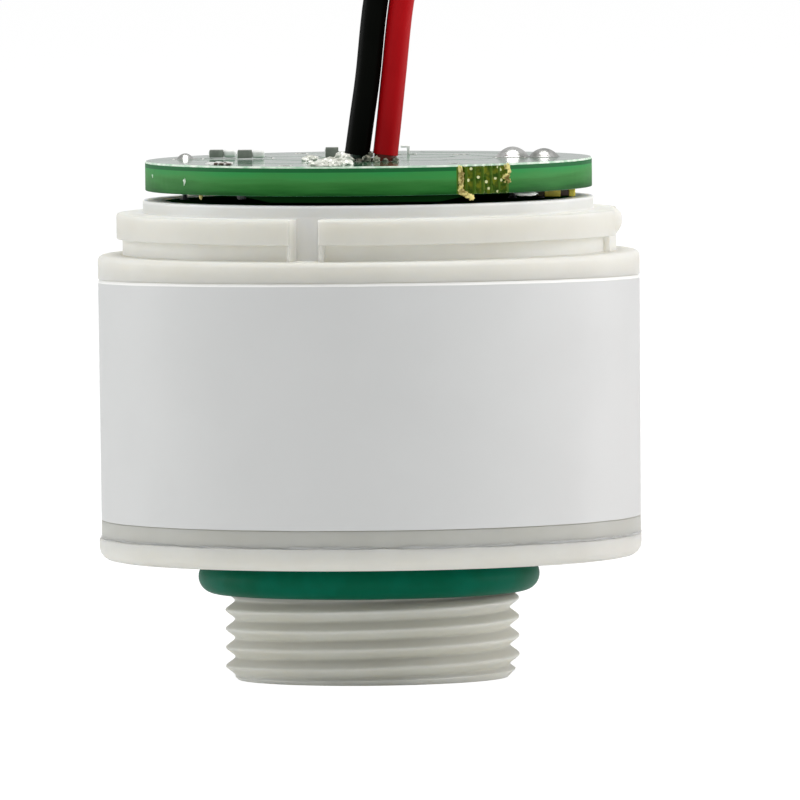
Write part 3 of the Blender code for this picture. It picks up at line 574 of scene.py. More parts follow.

# %% Join the listed route, the coil and the tail into one smooth line
def coil_points(radius):
    """Points round the coil, clockwise from above, that climb to the upper layer once."""
    points = []
    for index in range(1, round(COIL_POINTS * COIL_TURNS) + 1):
        swept = 360.0 * index / COIL_POINTS
        angle = math.radians(180.0 - swept)
        share = min(1.0, max(0.0, (swept - CLIMB_FROM) / (CLIMB_TO - CLIMB_FROM)))
        height = COIL_LOW + (COIL_HIGH - COIL_LOW) * share * share * (3.0 - 2.0 * share)
        x = COIL_CENTRE[0] + radius * math.cos(angle)
        y = COIL_CENTRE[1] + radius * math.sin(angle)
        points.append((x, y, height))
    return points


def tail_points(side):
    """Points from the coil into one cavity of the connector."""
    start = CONNECTOR_MIDDLE + side * 0.7
    end = CONNECTOR_MIDDLE + side * CONTACT_PITCH / 2
    return (
        (start, 0.0, COIL_HIGH),
        (start, -2.2, COIL_HIGH),
        ((start + end) / 2, -5.6, (COIL_HIGH + CAVITY_HEIGHT) / 2),
        (end, CONNECTOR_REAR + 0.6, CAVITY_HEIGHT),
        (end, CONNECTOR_REAR - LEAD_IN_CAVITY, CAVITY_HEIGHT),
    )


def smooth_line(points, steps=8):
    """A finer line through all the points, without corners."""
    points = [Vector(point) * MM for point in points]
    padded = [2 * points[0] - points[1], *points, 2 * points[-1] - points[-2]]
    fine = []
    for before, here, there, after in zip(padded, padded[1:], padded[2:], padded[3:]):
        for step in range(steps):
            t = step / steps
            straight = 2 * here + (there - before) * t
            bend = (2 * before - 5 * here + 4 * there - after) * t**2
            twist = (3 * here - before - 3 * there + after) * t**3
            fine.append(0.5 * (straight + bend + twist))
    fine.append(points[-1])
    return fine


def whole_line(route, last_y, coil_radius, side):
    """The listed route, a straight run onto the coil, the coil and the tail, as one line."""
    x = COIL_CENTRE[0] - coil_radius
    run = ((x, last_y, COIL_LOW), (x, COIL_CENTRE[1], COIL_LOW))
    return smooth_line([*route, *run, *coil_points(coil_radius), *tail_points(side)])


black_line = whole_line(BLACK_ROUTE, -1.6, BLACK_COIL_RADIUS, -1)
red_line = whole_line(RED_ROUTE, -0.8, RED_COIL_RADIUS, 1)


def line_length(line):
    """The length along a line, in metres."""
    return sum((second - first).length for first, second in zip(line, line[1:]))


print("black lead in mm:", round(line_length(black_line) / MM, 1))
print("red lead in mm:", round(line_length(red_line) / MM, 1))

# %% Make the leads
def make_lead(name, line, finish):
    """A round lead as one open spline with closed ends."""
    curve = bpy.data.curves.new(name, "CURVE")
    curve.dimensions = "3D"
    curve.bevel_depth = LEAD_RADIUS * MM
    curve.bevel_resolution = 6
    curve.use_fill_caps = True
    spline = curve.splines.new("POLY")
    spline.points.add(len(line) - 1)
    for target, point in zip(spline.points, line):
        target.co = (*point, 1.0)
    spline.use_smooth = True
    curve.materials.append(finish)
    lead = bpy.data.objects.new(name, curve)
    bpy.context.scene.collection.objects.link(lead)
    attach(lead, ROOT)
    return lead


black_lead = make_lead("black_lead_cable", black_line, black_sheath)
red_lead = make_lead("red_lead_cable", red_line, red_sheath)
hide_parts("black_lead", "black_tail", "lead_coil")
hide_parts("red_lead", "red_tail")
print("lead points:", len(black_line), len(red_line))

# %% [markdown]
# ## Studio
#
# The cell stands on a plain pale floor, in soft light from both sides and from above, strongest on
# the right. Weak lamps in front keep the thread and the recesses open. The floor and the world look
# white to the camera and pale in reflections, but they give only a moderate light, so that pale
# plastic keeps its shading.

# %% How much of the stage is seen as plain white
MIRRORED = 0.5


def white_share(tree):
    """1 for what is seen straight or through glass, and less for what is seen in a reflection."""
    path = tree.nodes.new("ShaderNodeLightPath")
    straight = math_node(tree, "MAXIMUM", path.outputs["Is Camera Ray"], path.outputs["Is Transmission Ray"])
    reflected = math_node(tree, "MULTIPLY", path.outputs["Is Glossy Ray"], MIRRORED)
    return math_node(tree, "MAXIMUM", straight, reflected)


print("share of white in a reflection:", MIRRORED)

# %% World
WORLD_LIGHT = 0.20
SEEN_WHITE = 1.0
world = bpy.data.worlds.new("studio_world")
bpy.context.scene.world = world
world.use_nodes = True
sky = world.node_tree
sky.nodes.clear()
choose = sky.nodes.new("ShaderNodeMixShader")
for slot, strength in ((1, WORLD_LIGHT), (2, SEEN_WHITE)):
    light = sky.nodes.new("ShaderNodeBackground")
    light.inputs["Color"].default_value = (1.0, 1.0, 1.0, 1.0)
    light.inputs["Strength"].default_value = strength
    sky.links.new(light.outputs["Background"], choose.inputs[slot])
sky_out = sky.nodes.new("ShaderNodeOutputWorld")
sky.links.new(white_share(sky), choose.inputs["Fac"])
sky.links.new(choose.outputs["Shader"], sky_out.inputs["Surface"])
print("world light:", WORLD_LIGHT)

# %% Floor whose paper keeps a part of its own shading, and so the cell's shadow
FLOOR_RADIUS = 6.0
FLOOR_GLOW = 0.8
PAPER_STRENGTH = 1.19
floor_bm = bmesh.new()
bmesh.ops.create_circle(floor_bm, cap_ends=True, radius=FLOOR_RADIUS, segments=96)
floor_mesh = bpy.data.meshes.new("floor")
floor_bm.to_mesh(floor_mesh)
floor_bm.free()
floor = bpy.data.objects.new("floor", floor_mesh)
bpy.context.scene.collection.objects.link(floor)
floor_paper = bpy.data.materials.new("floor_paper")
floor_paper.use_nodes = True
paper = floor_paper.node_tree
paper_shader = paper.nodes["Principled BSDF"]
paper_shader.inputs["Base Color"].default_value = (0.9, 0.9, 0.9, 1.0)
paper_shader.inputs["Roughness"].default_value = 1.0
paper_shader.inputs["Specular IOR Level"].default_value = 0.0
paper_glow = paper.nodes.new("ShaderNodeEmission")
paper_glow.inputs["Strength"].default_value = PAPER_STRENGTH
paper_mix = paper.nodes.new("ShaderNodeMixShader")
paper.links.new(math_node(paper, "MULTIPLY", white_share(paper), FLOOR_GLOW), paper_mix.inputs["Fac"])
paper.links.new(paper_shader.outputs["BSDF"], paper_mix.inputs[1])
paper.links.new(paper_glow.outputs["Emission"], paper_mix.inputs[2])
paper.links.new(paper_mix.outputs["Shader"], paper.nodes["Material Output"].inputs["Surface"])
floor_mesh.materials.append(floor_paper)
floor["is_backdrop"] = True
print("floor radius in m:", FLOOR_RADIUS)

# %% Lamps
LAMP_AIM = Vector((0.0, 0.0, 0.018))
LAMP_DISTANCE = 0.7
LAMP_SIZE = 0.4


def make_softbox(name, azimuth, elevation, power):
    """A square area lamp that looks at the cell. Azimuth is in degrees from the camera side."""
    lamp_data = bpy.data.lights.new(name, "AREA")
    lamp_data.size = LAMP_SIZE
    lamp_data.energy = power
    lamp = bpy.data.objects.new(name, lamp_data)
    bpy.context.scene.collection.objects.link(lamp)
    around, up = math.radians(azimuth), math.radians(elevation)
    towards = Vector((math.cos(up) * math.sin(around), -math.cos(up) * math.cos(around), math.sin(up)))
    lamp.location = LAMP_AIM + towards * LAMP_DISTANCE
    lamp.rotation_euler = towards.to_track_quat("Z", "Y").to_euler()


SOFTBOXES = (
    ("right_softbox", 95.0, 12.0, 3.2),
    ("left_softbox", -105.0, 12.0, 2.0),
    ("front_left_softbox", -50.0, 12.0, 0.5),
    ("front_softbox", -8.0, 10.0, 0.4),
    ("front_right_softbox", 40.0, 45.0, 0.9),
    ("top_softbox", 0.0, 88.0, 3.1),
)
for softbox in SOFTBOXES:
    make_softbox(*softbox)
print("lamps:", len(bpy.data.lights))

# %% [markdown]
# ## The moulded can
#
# The can is one moulding: a plain wall, a shoulder, and above it a collar whose lip hangs over
# recessed windows. The lip is cut through by a narrow slot on two sides, and posts stand where a
# window ends. One spin gives the round shape. Then each column of points is shaped by its azimuth,
# which cuts windows, posts and slots without a single boolean. Its colour carries painted light in
# the recesses and on the rim, as if light glowed through the plastic, painted shade on the rim's
# body and in the band under the label's lower edge, and a painted highlight on the rim's top edge.

# %% Sizes of the can, in mm
CAN_BORE = 13.0
CAN_RADIUS = 14.67
CAN_LOW_RADIUS = 14.61
CAN_BOTTOM = 7.82
RECESS_LOW = 8.72
RECESS_HIGH = 21.78
RECESS_LIFT = 0.24
RECESS_DEPTH = 0.07
SHOULDER_TOP = 23.09
CEILING = 21.40
LIP_BOTTOM = 23.97
LIP_TOP = 25.34
LIP_RADIUS = 13.69
POST_RADIUS = 13.37
SLOT_POST_RADIUS = 13.60
WINDOW_FLOOR = 13.05
RIM_RADIUS = 12.2
RIM_BORE = 11.2
RIM_TOP = 26.04
LEFT_WINDOW = (-100.0, -18.9)
RIGHT_WINDOW = (-10.5, 76.0)
WINDOWS = (LEFT_WINDOW, RIGHT_WINDOW, (101.0, 161.1), (169.5, 256.0))
SLOTS = ((-18.3, -11.5), (161.7, 168.5))
SLOT_POSTS = ((-18.9, -10.5), (161.1, 169.5))
LUG = (76.0, 101.0)
COLLAR_SHIFT = 0.05
SHALLOW_FROM = -62.0
SHALLOW_TO = -86.0
LUG_LOW = 24.67
LUG_ROUND = 0.5
CAN_STEPS = 900
EDGE_SNAP = 0.05
print("can height in mm:", round(RIM_TOP - CAN_BOTTOM, 2))

# %% Shape one column of the collar
def within(azimuth, *spans):
    """Whether an azimuth lies in any of the spans."""
    return any((azimuth - low) % 360.0 <= high - low for low, high in spans)


def collar_radius(azimuth, height, radius):
    """Where a point of the collar belongs, in mm."""
    if height < SHOULDER_TOP - 0.001 or radius < RIM_RADIUS + 0.01 or radius > LIP_RADIUS + 0.01:
        return radius
    if within(azimuth, *SLOTS):
        return RIM_RADIUS
    if within(azimuth, LEFT_WINDOW) and height < LIP_BOTTOM + 0.06:
        rise = min(1.0, max(0.0, (SHALLOW_FROM - azimuth) / (SHALLOW_FROM - SHALLOW_TO)))
        return max(radius, WINDOW_FLOOR + (POST_RADIUS - WINDOW_FLOOR) * rise)
    if within(azimuth, *WINDOWS) or radius < WINDOW_FLOOR - 0.1:
        return radius
    if within(azimuth, LUG):
        rise = min(1.0, max(0.0, (height - LIP_BOTTOM) / (LUG_LOW - LIP_BOTTOM)))
        outer = POST_RADIUS + (LIP_RADIUS - POST_RADIUS) * rise * (2.0 - rise)
        over = max(0.0, height - (LIP_TOP - LUG_ROUND))
        outer -= LUG_ROUND - math.sqrt(max(0.0, LUG_ROUND**2 - over**2))
        return min(outer, max(radius, POST_RADIUS)) if height > LIP_TOP - 0.001 else outer
    return max(radius, SLOT_POST_RADIUS if within(azimuth, *SLOT_POSTS) else POST_RADIUS)


def snap_azimuth(azimuth, step):
    """Put the two columns beside each edge of a window or slot close to that edge."""
    for span in (*WINDOWS, *SLOTS):
        for edge in span:
            away = (azimuth - edge + 180.0) % 360.0 - 180.0
            if abs(away) < step:
                return edge + math.copysign(EDGE_SNAP, away)
    return azimuth


print("collar shaping ready")

# %% Paint light and shade into a finish by place
LABEL_BOTTOM = 8.76


def multiply_colour(material, factor, colour):
    """Multiply a finish's colour by another one, by as much as factor says."""
    tree = material.node_tree
    target = tree.nodes["Principled BSDF"].inputs["Base Color"]
    present = target.links[0].from_socket
    tree.links.new(mix_colours(tree, factor, present, colour, "MULTIPLY"), target)


def paint_shading_band(material, low, high, share):
    """Multiply a finish's colour by a share between two heights in mm, as painted light above 1 and painted
    shade below 1.
    """
    tree = material.node_tree
    height = object_height(tree)
    above = spread(tree, height, (low - 0.02) * MM, (low + 0.12) * MM)
    below = spread(tree, height, (high + 0.08) * MM, (high - 0.04) * MM)
    within_band = math_node(tree, "MULTIPLY", above, below)
    multiply_colour(material, within_band, (share, share * 1.005, share * 0.985, 1.0))


def paint_shading_core(material, reach, share):
    """Multiply a finish's colour by a share nearer to the axis than reach, in mm, as painted light above 1.
    """
    tree = material.node_tree
    place = tree.nodes.new("ShaderNodeTexCoord")
    flat = tree.nodes.new("ShaderNodeVectorMath")
    flat.operation = "MULTIPLY"
    flat.inputs[1].default_value = (1.0, 1.0, 0.0)
    tree.links.new(place.outputs["Object"], flat.inputs[0])
    away = tree.nodes.new("ShaderNodeVectorMath")
    away.operation = "LENGTH"
    tree.links.new(flat.outputs["Vector"], away.inputs[0])
    near = spread(tree, away.outputs["Value"], (reach + 0.15) * MM, (reach - 0.15) * MM)
    multiply_colour(material, near, (share, share, share * 1.02, 1.0))


def paint_shading_by(material, attribute):
    """Multiply a finish's colour by a value stored on the mesh's points, as painted light and shade."""
    stored = material.node_tree.nodes.new("ShaderNodeAttribute")
    stored.attribute_name = attribute
    multiply_colour(material, 1.0, stored.outputs["Fac"])


print("tint helpers ready")

# %% Spin the can and shape its collar
can_bm = profile_wire((
    (CAN_BORE, CAN_BOTTOM, 0.0), (CAN_LOW_RADIUS, CAN_BOTTOM, 0.07), (CAN_LOW_RADIUS, RECESS_LOW, 0.02),
    (CAN_LOW_RADIUS - RECESS_DEPTH, RECESS_LOW, 0.0), (CAN_RADIUS - RECESS_DEPTH, RECESS_HIGH, 0.0),
    (CAN_RADIUS, RECESS_HIGH, 0.03), (CAN_RADIUS, SHOULDER_TOP, 0.3), (WINDOW_FLOOR, SHOULDER_TOP, 0.08),
    (WINDOW_FLOOR, LIP_BOTTOM, 0.05), (LIP_RADIUS, LIP_BOTTOM, 0.05), (LIP_RADIUS, LIP_TOP, 0.12),
    (RIM_RADIUS, LIP_TOP, 0.05), (RIM_RADIUS, RIM_TOP, 0.06), (RIM_BORE, RIM_TOP, 0.05),
    (RIM_BORE, CEILING, 0.0), (CAN_BORE, CEILING, 0.0),
))
divide_run(can_bm, LIP_BOTTOM + 0.05, LIP_TOP - 0.12, LIP_RADIUS, 7)
spin_full(can_bm, CAN_STEPS)
can_step = 360.0 / CAN_STEPS
for vert in can_bm.verts:
    height = vert.co.z / MM
    if abs(height - RECESS_HIGH) < 0.05:
        vert.co.z += RECESS_LIFT * MM * math.cos(math.radians(azimuth_of(vert)))
    if height > SHOULDER_TOP - 0.001:
        azimuth = azimuth_of(vert)
        radius = collar_radius(azimuth, height, math.hypot(vert.co.x, vert.co.y) / MM)
        angle = math.radians(snap_azimuth(azimuth, can_step))
        shift = COLLAR_SHIFT if RIM_RADIUS + 0.3 < radius < LIP_RADIUS + 0.01 else 0.0
        vert.co.x = (radius * math.sin(angle) + shift) * MM
        vert.co.y = -radius * MM * math.cos(angle)
bmesh.ops.remove_doubles(can_bm, verts=can_bm.verts, dist=WELD)
bmesh.ops.dissolve_degenerate(can_bm, edges=can_bm.edges, dist=WELD)
can_wall = can_plastic.copy()
can_wall.name = "can_wall"
# Painted shade in the band under the label's lower edge.
paint_shading_band(can_wall, CAN_BOTTOM, LABEL_BOTTOM, 0.76)
# Painted light in the recesses and, a little more, on the rim, as if light glowed through the plastic.
paint_shading_core(can_wall, POST_RADIUS + 0.12, 1.24)
paint_shading_core(can_wall, RIM_RADIUS + 0.4, 1.06)
# Painted shade on the rim's body and a painted highlight along its top edge.
paint_shading_band(can_wall, LIP_TOP + 0.05, RIM_TOP - 0.16, 0.86)
paint_shading_band(can_wall, RIM_TOP - 0.1, RIM_TOP + 0.3, 1.15)
can_moulding = make_piece("can_moulding", can_bm, [can_wall])
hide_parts("housing_can")
print("can faces:", len(can_moulding.data.polygons))

# %% [markdown]
# ## The moulded base and its thread
#
# Disc, neck and threaded inlet are one moulding, welded to the can. A true screw thread is a groove
# whose depth depends on height and angle together. So the thread's wall is divided finely along its
# height, spun, and each point is moved in by the depth of the V groove at its place on the helix.
# Painted shade greys the flanks that face up and painted light the ones that face down, so each
# point also keeps a shade for the finish to read.

# %% Sizes of the base, in mm
THREAD_LENGTH = 4.7
THREAD_PITCH = 1.018
THREAD_CREST = 7.99
THREAD_DEPTH = 0.55
THREAD_START = 0.20
THREAD_SOFTENING = (-0.08, -0.04, 0.0, 0.04, 0.08)
DOWN_FLANK_LIGHT = 0.22
UP_FLANK_SHADE = 0.24
THREAD_CHAMFER = 7.33
NECK_RADIUS = 7.4
NECK_SHADE_FROM = 4.4
INLET_RADIUS = 6.3
INLET_DEPTH = 4.8
GAS_PORT = 3.0
SEAT_HEIGHT = 6.56
DISC_RADIUS = 14.69
DISC_ROUND = 0.7
DISC_TOP = 7.77
SPIGOT_RADIUS = 12.88
SPIGOT_TOP = 10.27
CUP_RADIUS = 12.28
CUP_FLOOR = 8.07
BASE_STEPS = 360
DISC_SHIFT = -0.05
SEAM_BULGE = 0.03
SEAM_RISE = 0.035
THREAD_CUTS = 75
print("thread turns:", THREAD_LENGTH / THREAD_PITCH)

# %% Depth of the groove on the helix
def groove(phase):
    """0 on the crest and 1 in the root of the V groove, with small flats."""
    away = abs(phase - round(phase)) * 2.0
    return min(1.0, max(0.0, (away - 0.09) / 0.80))


def thread_radius(angle, height):
    """The radius of the thread's surface, softened by averaging over nearby phases."""
    phase = (height - THREAD_START) / THREAD_PITCH - angle / math.tau
    depth = sum(groove(phase + shift) for shift in THREAD_SOFTENING) / len(THREAD_SOFTENING)
    return min(THREAD_CREST - THREAD_DEPTH * depth, THREAD_CHAMFER + height)


def painted_flank_shade(angle, height):
    """Painted shade below 1 on the flanks that face up, painted light above 1 on the ones that face down."""
    lean = (thread_radius(angle, height + 0.03) - thread_radius(angle, height - 0.03)) / 0.06
    return 1.0 + (DOWN_FLANK_LIGHT if lean > 0.0 else UP_FLANK_SHADE) * min(1.0, max(-1.0, lean))


def seam_noise(angle, seed):
    """A value round -1..1 that wanders along the weld seam."""
    along = Vector((math.cos(angle) * 9.0, math.sin(angle) * 9.0, seed))
    return noise.noise(along) + 0.6 * noise.noise(along * 4.1)


print("groove in the root:", groove(0.5))

# %% Spin the base
base_bm = profile_wire((
    (INLET_RADIUS, 0.0, 0.08), (THREAD_CREST, 0.0, 0.0), (THREAD_CREST, THREAD_LENGTH, 0.0),
    (NECK_RADIUS, THREAD_LENGTH, 0.0), (NECK_RADIUS, SEAT_HEIGHT, 0.1),
    (DISC_RADIUS, SEAT_HEIGHT, DISC_ROUND), (DISC_RADIUS, DISC_TOP, 0.12), (SPIGOT_RADIUS, DISC_TOP, 0.0),
    (SPIGOT_RADIUS, SPIGOT_TOP, 0.1), (CUP_RADIUS, SPIGOT_TOP, 0.1), (CUP_RADIUS, CUP_FLOOR, 0.0),
    (GAS_PORT, CUP_FLOOR, 0.0), (GAS_PORT, INLET_DEPTH, 0.0), (INLET_RADIUS, INLET_DEPTH, 0.0),
))
divide_run(base_bm, 0.0, THREAD_LENGTH, THREAD_CREST, THREAD_CUTS)
spin_full(base_bm, BASE_STEPS)
shade_layer = base_bm.verts.layers.float.new("painted_flank_shade")
for vert in base_bm.verts:
    vert[shade_layer] = 1.0
    radius = math.hypot(vert.co.x, vert.co.y) / MM
    height = vert.co.z / MM
    angle = math.atan2(vert.co.y, vert.co.x)
    if abs(radius - THREAD_CREST) < 0.001:
        set_radius(vert, thread_radius(angle, height) * MM)
        vert[shade_layer] = painted_flank_shade(angle, height)
    elif radius > SPIGOT_RADIUS + 0.3 and height > SEAT_HEIGHT - 0.01:
        share = (height - SEAT_HEIGHT) / (DISC_TOP - SEAT_HEIGHT)
        set_radius(vert, (radius + SEAM_BULGE * share**4 * seam_noise(angle, 2.0)) * MM)
        vert.co.z += SEAM_RISE * MM * share**6 * seam_noise(angle, 5.0)
        vert.co.x += DISC_SHIFT * MM * (radius - SPIGOT_RADIUS - 0.3) / 1.5
base_wall = can_plastic.copy()
base_wall.name = "base_wall"
# Painted shade: a little on the thread, much more on the neck under the disc.
paint_shading_band(base_wall, -1.0, NECK_SHADE_FROM, 0.98)
paint_shading_band(base_wall, NECK_SHADE_FROM, SEAT_HEIGHT - 0.1, 0.74)
# Painted light and shade on the thread's flanks, read from the points.
paint_shading_by(base_wall, "painted_flank_shade")
base_moulding = make_piece("base_moulding", base_bm, [base_wall])
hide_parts("base_cap")
print("base faces:", len(base_moulding.data.polygons))

# %% [markdown]
# ## The weld's flash
#
# Where can and base were welded, molten plastic squeezed out and set as an uneven bead in the seam.
# A thin ring is spun, then each of its columns is given its own height and reach by noise.

# %% Spin the bead and make it uneven
FLASH_STEPS = 1200
FLASH_ROOT = 14.2
FLASH_LIP = 14.64
FLASH_REACH = 0.07
FLASH_RIPPLE = 0.03
FLASH_LIFT = 0.06
flash_bm = profile_wire((
    (FLASH_ROOT, DISC_TOP - 0.06, 0.0), (FLASH_LIP - 0.04, DISC_TOP - 0.03, 0.05),
    (FLASH_LIP, DISC_TOP + 0.10, 0.05), (FLASH_ROOT, DISC_TOP + 0.16, 0.0),
))
spin_full(flash_bm, FLASH_STEPS)
for vert in flash_bm.verts:
    angle = math.atan2(vert.co.y, vert.co.x)
    reach = FLASH_REACH * seam_noise(angle, 11.0) + FLASH_RIPPLE * seam_noise(angle + 7.0, 3.0)
    lift = FLASH_LIFT * seam_noise(angle, 21.0)
    if math.hypot(vert.co.x, vert.co.y) / MM > FLASH_ROOT + 0.2:
        set_radius(vert, math.hypot(vert.co.x, vert.co.y) + reach * MM)
        if vert.co.z / MM > DISC_TOP + 0.03:
            vert.co.z += lift * MM
weld_flash = make_piece("weld_flash", flash_bm, [can_plastic], sharp=50.0)
print("flash faces:", len(weld_flash.data.polygons))

# %% [markdown]
# ## The sealing ring
#
# An O-ring is a circle spun about the axis. It hangs a hair below the disc, sits a little to the
# left, and is pressed flat where it touches the neck.

# %% Spin the ring's round section
RING_SECTION = 0.9
RING_MIDDLE = (8.35, 5.60)
RING_SHIFT = -0.155
ring_bm = bmesh.new()
bmesh.ops.create_circle(ring_bm, radius=RING_SECTION * MM, segments=40)
upright = Matrix.Rotation(math.pi / 2, 3, "X")
bmesh.ops.rotate(ring_bm, verts=ring_bm.verts, cent=(0, 0, 0), matrix=upright)
bmesh.ops.translate(ring_bm, verts=ring_bm.verts, vec=(RING_MIDDLE[0] * MM, 0.0, RING_MIDDLE[1] * MM))
spin_full(ring_bm, 240)
bmesh.ops.translate(ring_bm, verts=ring_bm.verts, vec=(RING_SHIFT * MM, 0.0, 0.0))
for vert in ring_bm.verts:
    set_radius(vert, max(math.hypot(vert.co.x, vert.co.y), (NECK_RADIUS + 0.01) * MM))
sealing_ring = make_piece("sealing_ring", ring_bm, [ring_rubber])
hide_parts("o_ring")
print("ring faces:", len(sealing_ring.data.polygons))

# %% [markdown]
# ## The label
#
# The label is one strip of pale film round the can, whose end overlaps its start at the back. Here
# it is bare. An open wall is spun once round, its end a little farther out than its start, and
# given its thickness by solidify. Its cut upper edge leans in a little and has a brighter finish
# than its face, a painted highlight along that edge.

# %% Spin the strip and give it a thickness
LABEL_TOP = 21.72
LABEL_LOW_INNER = 14.555
LABEL_HIGH_INNER = 14.61
LABEL_THICKNESS = 0.06
LABEL_OVERLAP = 8.0
LABEL_STEPS = 368
LABEL_SEAM_AZIMUTH = 150.0
LABEL_CLIMB_FROM = 357.0
LABEL_CLIMB = 3.0
LABEL_WAVER = 0.012
LABEL_LEVELS = (12.0, 15.3, 18.6)
EDGE_LEAN = ((0.14, 0.0), (0.09, 0.008), (0.04, 0.038), (0.0, 0.072))
label_bm = bmesh.new()
levels = [LABEL_BOTTOM, LABEL_BOTTOM + 0.05, *LABEL_LEVELS]
levels.extend(LABEL_TOP - below for below, lean in EDGE_LEAN)
column = [label_bm.verts.new((LABEL_LOW_INNER * MM, 0.0, level * MM)) for level in levels]
for lower, upper in zip(column, column[1:]):
    label_bm.edges.new((lower, upper))
sweep(label_bm, LABEL_SEAM_AZIMUTH, 360.0 + LABEL_OVERLAP, LABEL_STEPS)
# The faces of the leaning upper edge take the painted highlight.
for face in label_bm.faces:
    face.material_index = int(face.calc_center_median().z / MM > LABEL_TOP - EDGE_LEAN[0][0])
label_bm.verts.index_update()
for vert in label_bm.verts:
    swept = (vert.index // len(levels)) * (360.0 + LABEL_OVERLAP) / LABEL_STEPS
    climb = min(1.0, max(0.0, (swept - LABEL_CLIMB_FROM) / LABEL_CLIMB))
    height = vert.co.z / MM
    rise = (height - LABEL_BOTTOM) / (LABEL_TOP - LABEL_BOTTOM)
    inner = LABEL_LOW_INNER + (LABEL_HIGH_INNER - LABEL_LOW_INNER) * rise
    tuck = max((lean for below, lean in EDGE_LEAN if height > LABEL_TOP - below - 0.005), default=0.0)
    set_radius(vert, (inner + LABEL_THICKNESS * 1.1 * climb - tuck) * MM)
    front = math.cos(math.radians(azimuth_of(vert)))
    waver = LABEL_WAVER * noise.noise(Vector((swept * 0.11, round(rise) * 5.0, 1.0)))
    vert.co.z += (RECESS_LIFT * rise * front + waver) * MM
bmesh.ops.recalc_face_normals(label_bm, faces=label_bm.faces)
bmesh.ops.solidify(label_bm, geom=label_bm.faces[:], thickness=-LABEL_THICKNESS * MM)
label_wrap = make_piece("label_wrap", label_bm, [label_film, label_edge_highlight], sharp=45.0)
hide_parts("label")
print("label faces:", len(label_wrap.data.polygons))

# %% [markdown]
# ## The circuit board
#
# The board is a punched disc of green fibre board. Its flat faces are lacquered and shine, and its
# edge shows the bare laminate under one dark upper ply, with painted light that brightens it
# towards the top and painted shade that darkens it towards the bottom. On one side a tab was broken
# off along a row of plated holes, which left half holes with rough gold walls.

# %% The laminate seen on the edge
BOARD_BOTTOM = 26.55
BOARD_TOP = 28.15
# Painted shade at the bottom of the edge and painted light towards the top.
LAMINATE_LIGHT_STOPS = (
    (0.0, (0.004, 0.070, 0.008)),
    (0.2, (0.018, 0.138, 0.022)),
    (0.4, (0.034, 0.180, 0.036)),
    (0.58, (0.044, 0.240, 0.054)),
    (0.85, (0.026, 0.262, 0.062)),
)
UPPER_PLY = (0.010, 0.120, 0.032, 1.0)
UPPER_PLY_FROM = 0.785
UPPER_PLY_TO = 0.81


def colour_ramp(tree, value, stops):
    """Colours along a value, from (position, linear RGB) stops."""
    ramp = tree.nodes.new("ShaderNodeValToRGB")
    marks = ramp.color_ramp.elements
    marks[0].position, marks[0].color = stops[0][0], (*stops[0][1], 1.0)
    marks[1].position, marks[1].color = stops[-1][0], (*stops[-1][1], 1.0)
    for position, colour in stops[1:-1]:
        mark = marks.new(position)
        mark.color = (*colour, 1.0)
    tree.links.new(value, ramp.inputs["Fac"])
    return ramp.outputs["Color"]


def make_laminate():
    """Green laminate with fine fibres that run round the board, with painted light near the top and painted
    shade low down.
    """
    material = bpy.data.materials.new("laminate_edge")
    material.use_nodes = True
    tree = material.node_tree
    shader = tree.nodes["Principled BSDF"]
    shader.inputs["Roughness"].default_value = 0.5
    shader.inputs["Specular IOR Level"].default_value = 0.10
    place = tree.nodes.new("ShaderNodeTexCoord")
    rise = tree.nodes.new("ShaderNodeMapRange")
    rise.inputs["From Min"].default_value = BOARD_BOTTOM * MM
    rise.inputs["From Max"].default_value = BOARD_TOP * MM
    tree.links.new(object_height(tree), rise.inputs["Value"])
    stretch = tree.nodes.new("ShaderNodeMapping")
    stretch.inputs["Scale"].default_value = (260.0, 260.0, 2600.0)
    tree.links.new(place.outputs["Object"], stretch.inputs["Vector"])
    fibres = tree.nodes.new("ShaderNodeTexNoise")
    fibres.inputs["Scale"].default_value = 1.0
    fibres.inputs["Detail"].default_value = 5.0
    tree.links.new(stretch.outputs["Vector"], fibres.inputs["Vector"])
    sway = math_node(tree, "MULTIPLY", math_node(tree, "SUBTRACT", fibres.outputs["Fac"], 0.5), 0.55)
    level = math_node(tree, "ADD", rise.outputs["Result"], sway, clamp=True)
    ply = spread(tree, rise.outputs["Result"], UPPER_PLY_FROM, UPPER_PLY_TO)
    colour = mix_colours(tree, ply, colour_ramp(tree, level, LAMINATE_LIGHT_STOPS), UPPER_PLY)
    tree.links.new(colour, shader.inputs["Base Color"])
    bump = tree.nodes.new("ShaderNodeBump")
    bump.inputs["Distance"].default_value = 0.012 * MM
    tree.links.new(fibres.outputs["Fac"], bump.inputs["Height"])
    tree.links.new(bump.outputs["Normal"], shader.inputs["Normal"])
    return material


laminate_edge = make_laminate()
cut_lacquer = make_finish(
    "cut_lacquer", (0.78, 0.88, 0.76), (0.30, 0.55, 0.36), (0.4, 0.6), patch_scale=1500.0,
    patch_amount=0.8, grain_scale=7000.0, grain_depth=0.02,
)
print("made finish:", laminate_edge.name)

# %% Spin the board and break the row of half holes out of its edge
BOARD_RADIUS = 12.1
BOARD_SHIFT = 0.045
BOARD_STEPS = 1440
CUT_EDGE = 0.10
NOTCH_RADIUS = 0.2
NOTCH_FIRST = 24.5
NOTCH_STEP = 2.46
NOTCH_COUNT = 6
TAB_FROM = 22.9
TAB_TO = 38.6
TORN_ROUGHNESS = (0.03, 9000.0)
EDGE_ROUGHNESS = (0.004, 2500.0)
FLAT_RADIUS = 11.6
ROUGH_FROM_RADIUS = 11.9
LAMINATE, PLATED, CUT, OLIVE = 1, 2, 3, 4


def notch_depth(azimuth):
    """How far the edge is cut in at an azimuth, in mm."""
    for index in range(NOTCH_COUNT):
        along = math.radians(azimuth - NOTCH_FIRST - NOTCH_STEP * index) * BOARD_RADIUS
        if abs(along) < NOTCH_RADIUS:
            return math.sqrt(NOTCH_RADIUS**2 - along**2) * 0.9
    return 0.0


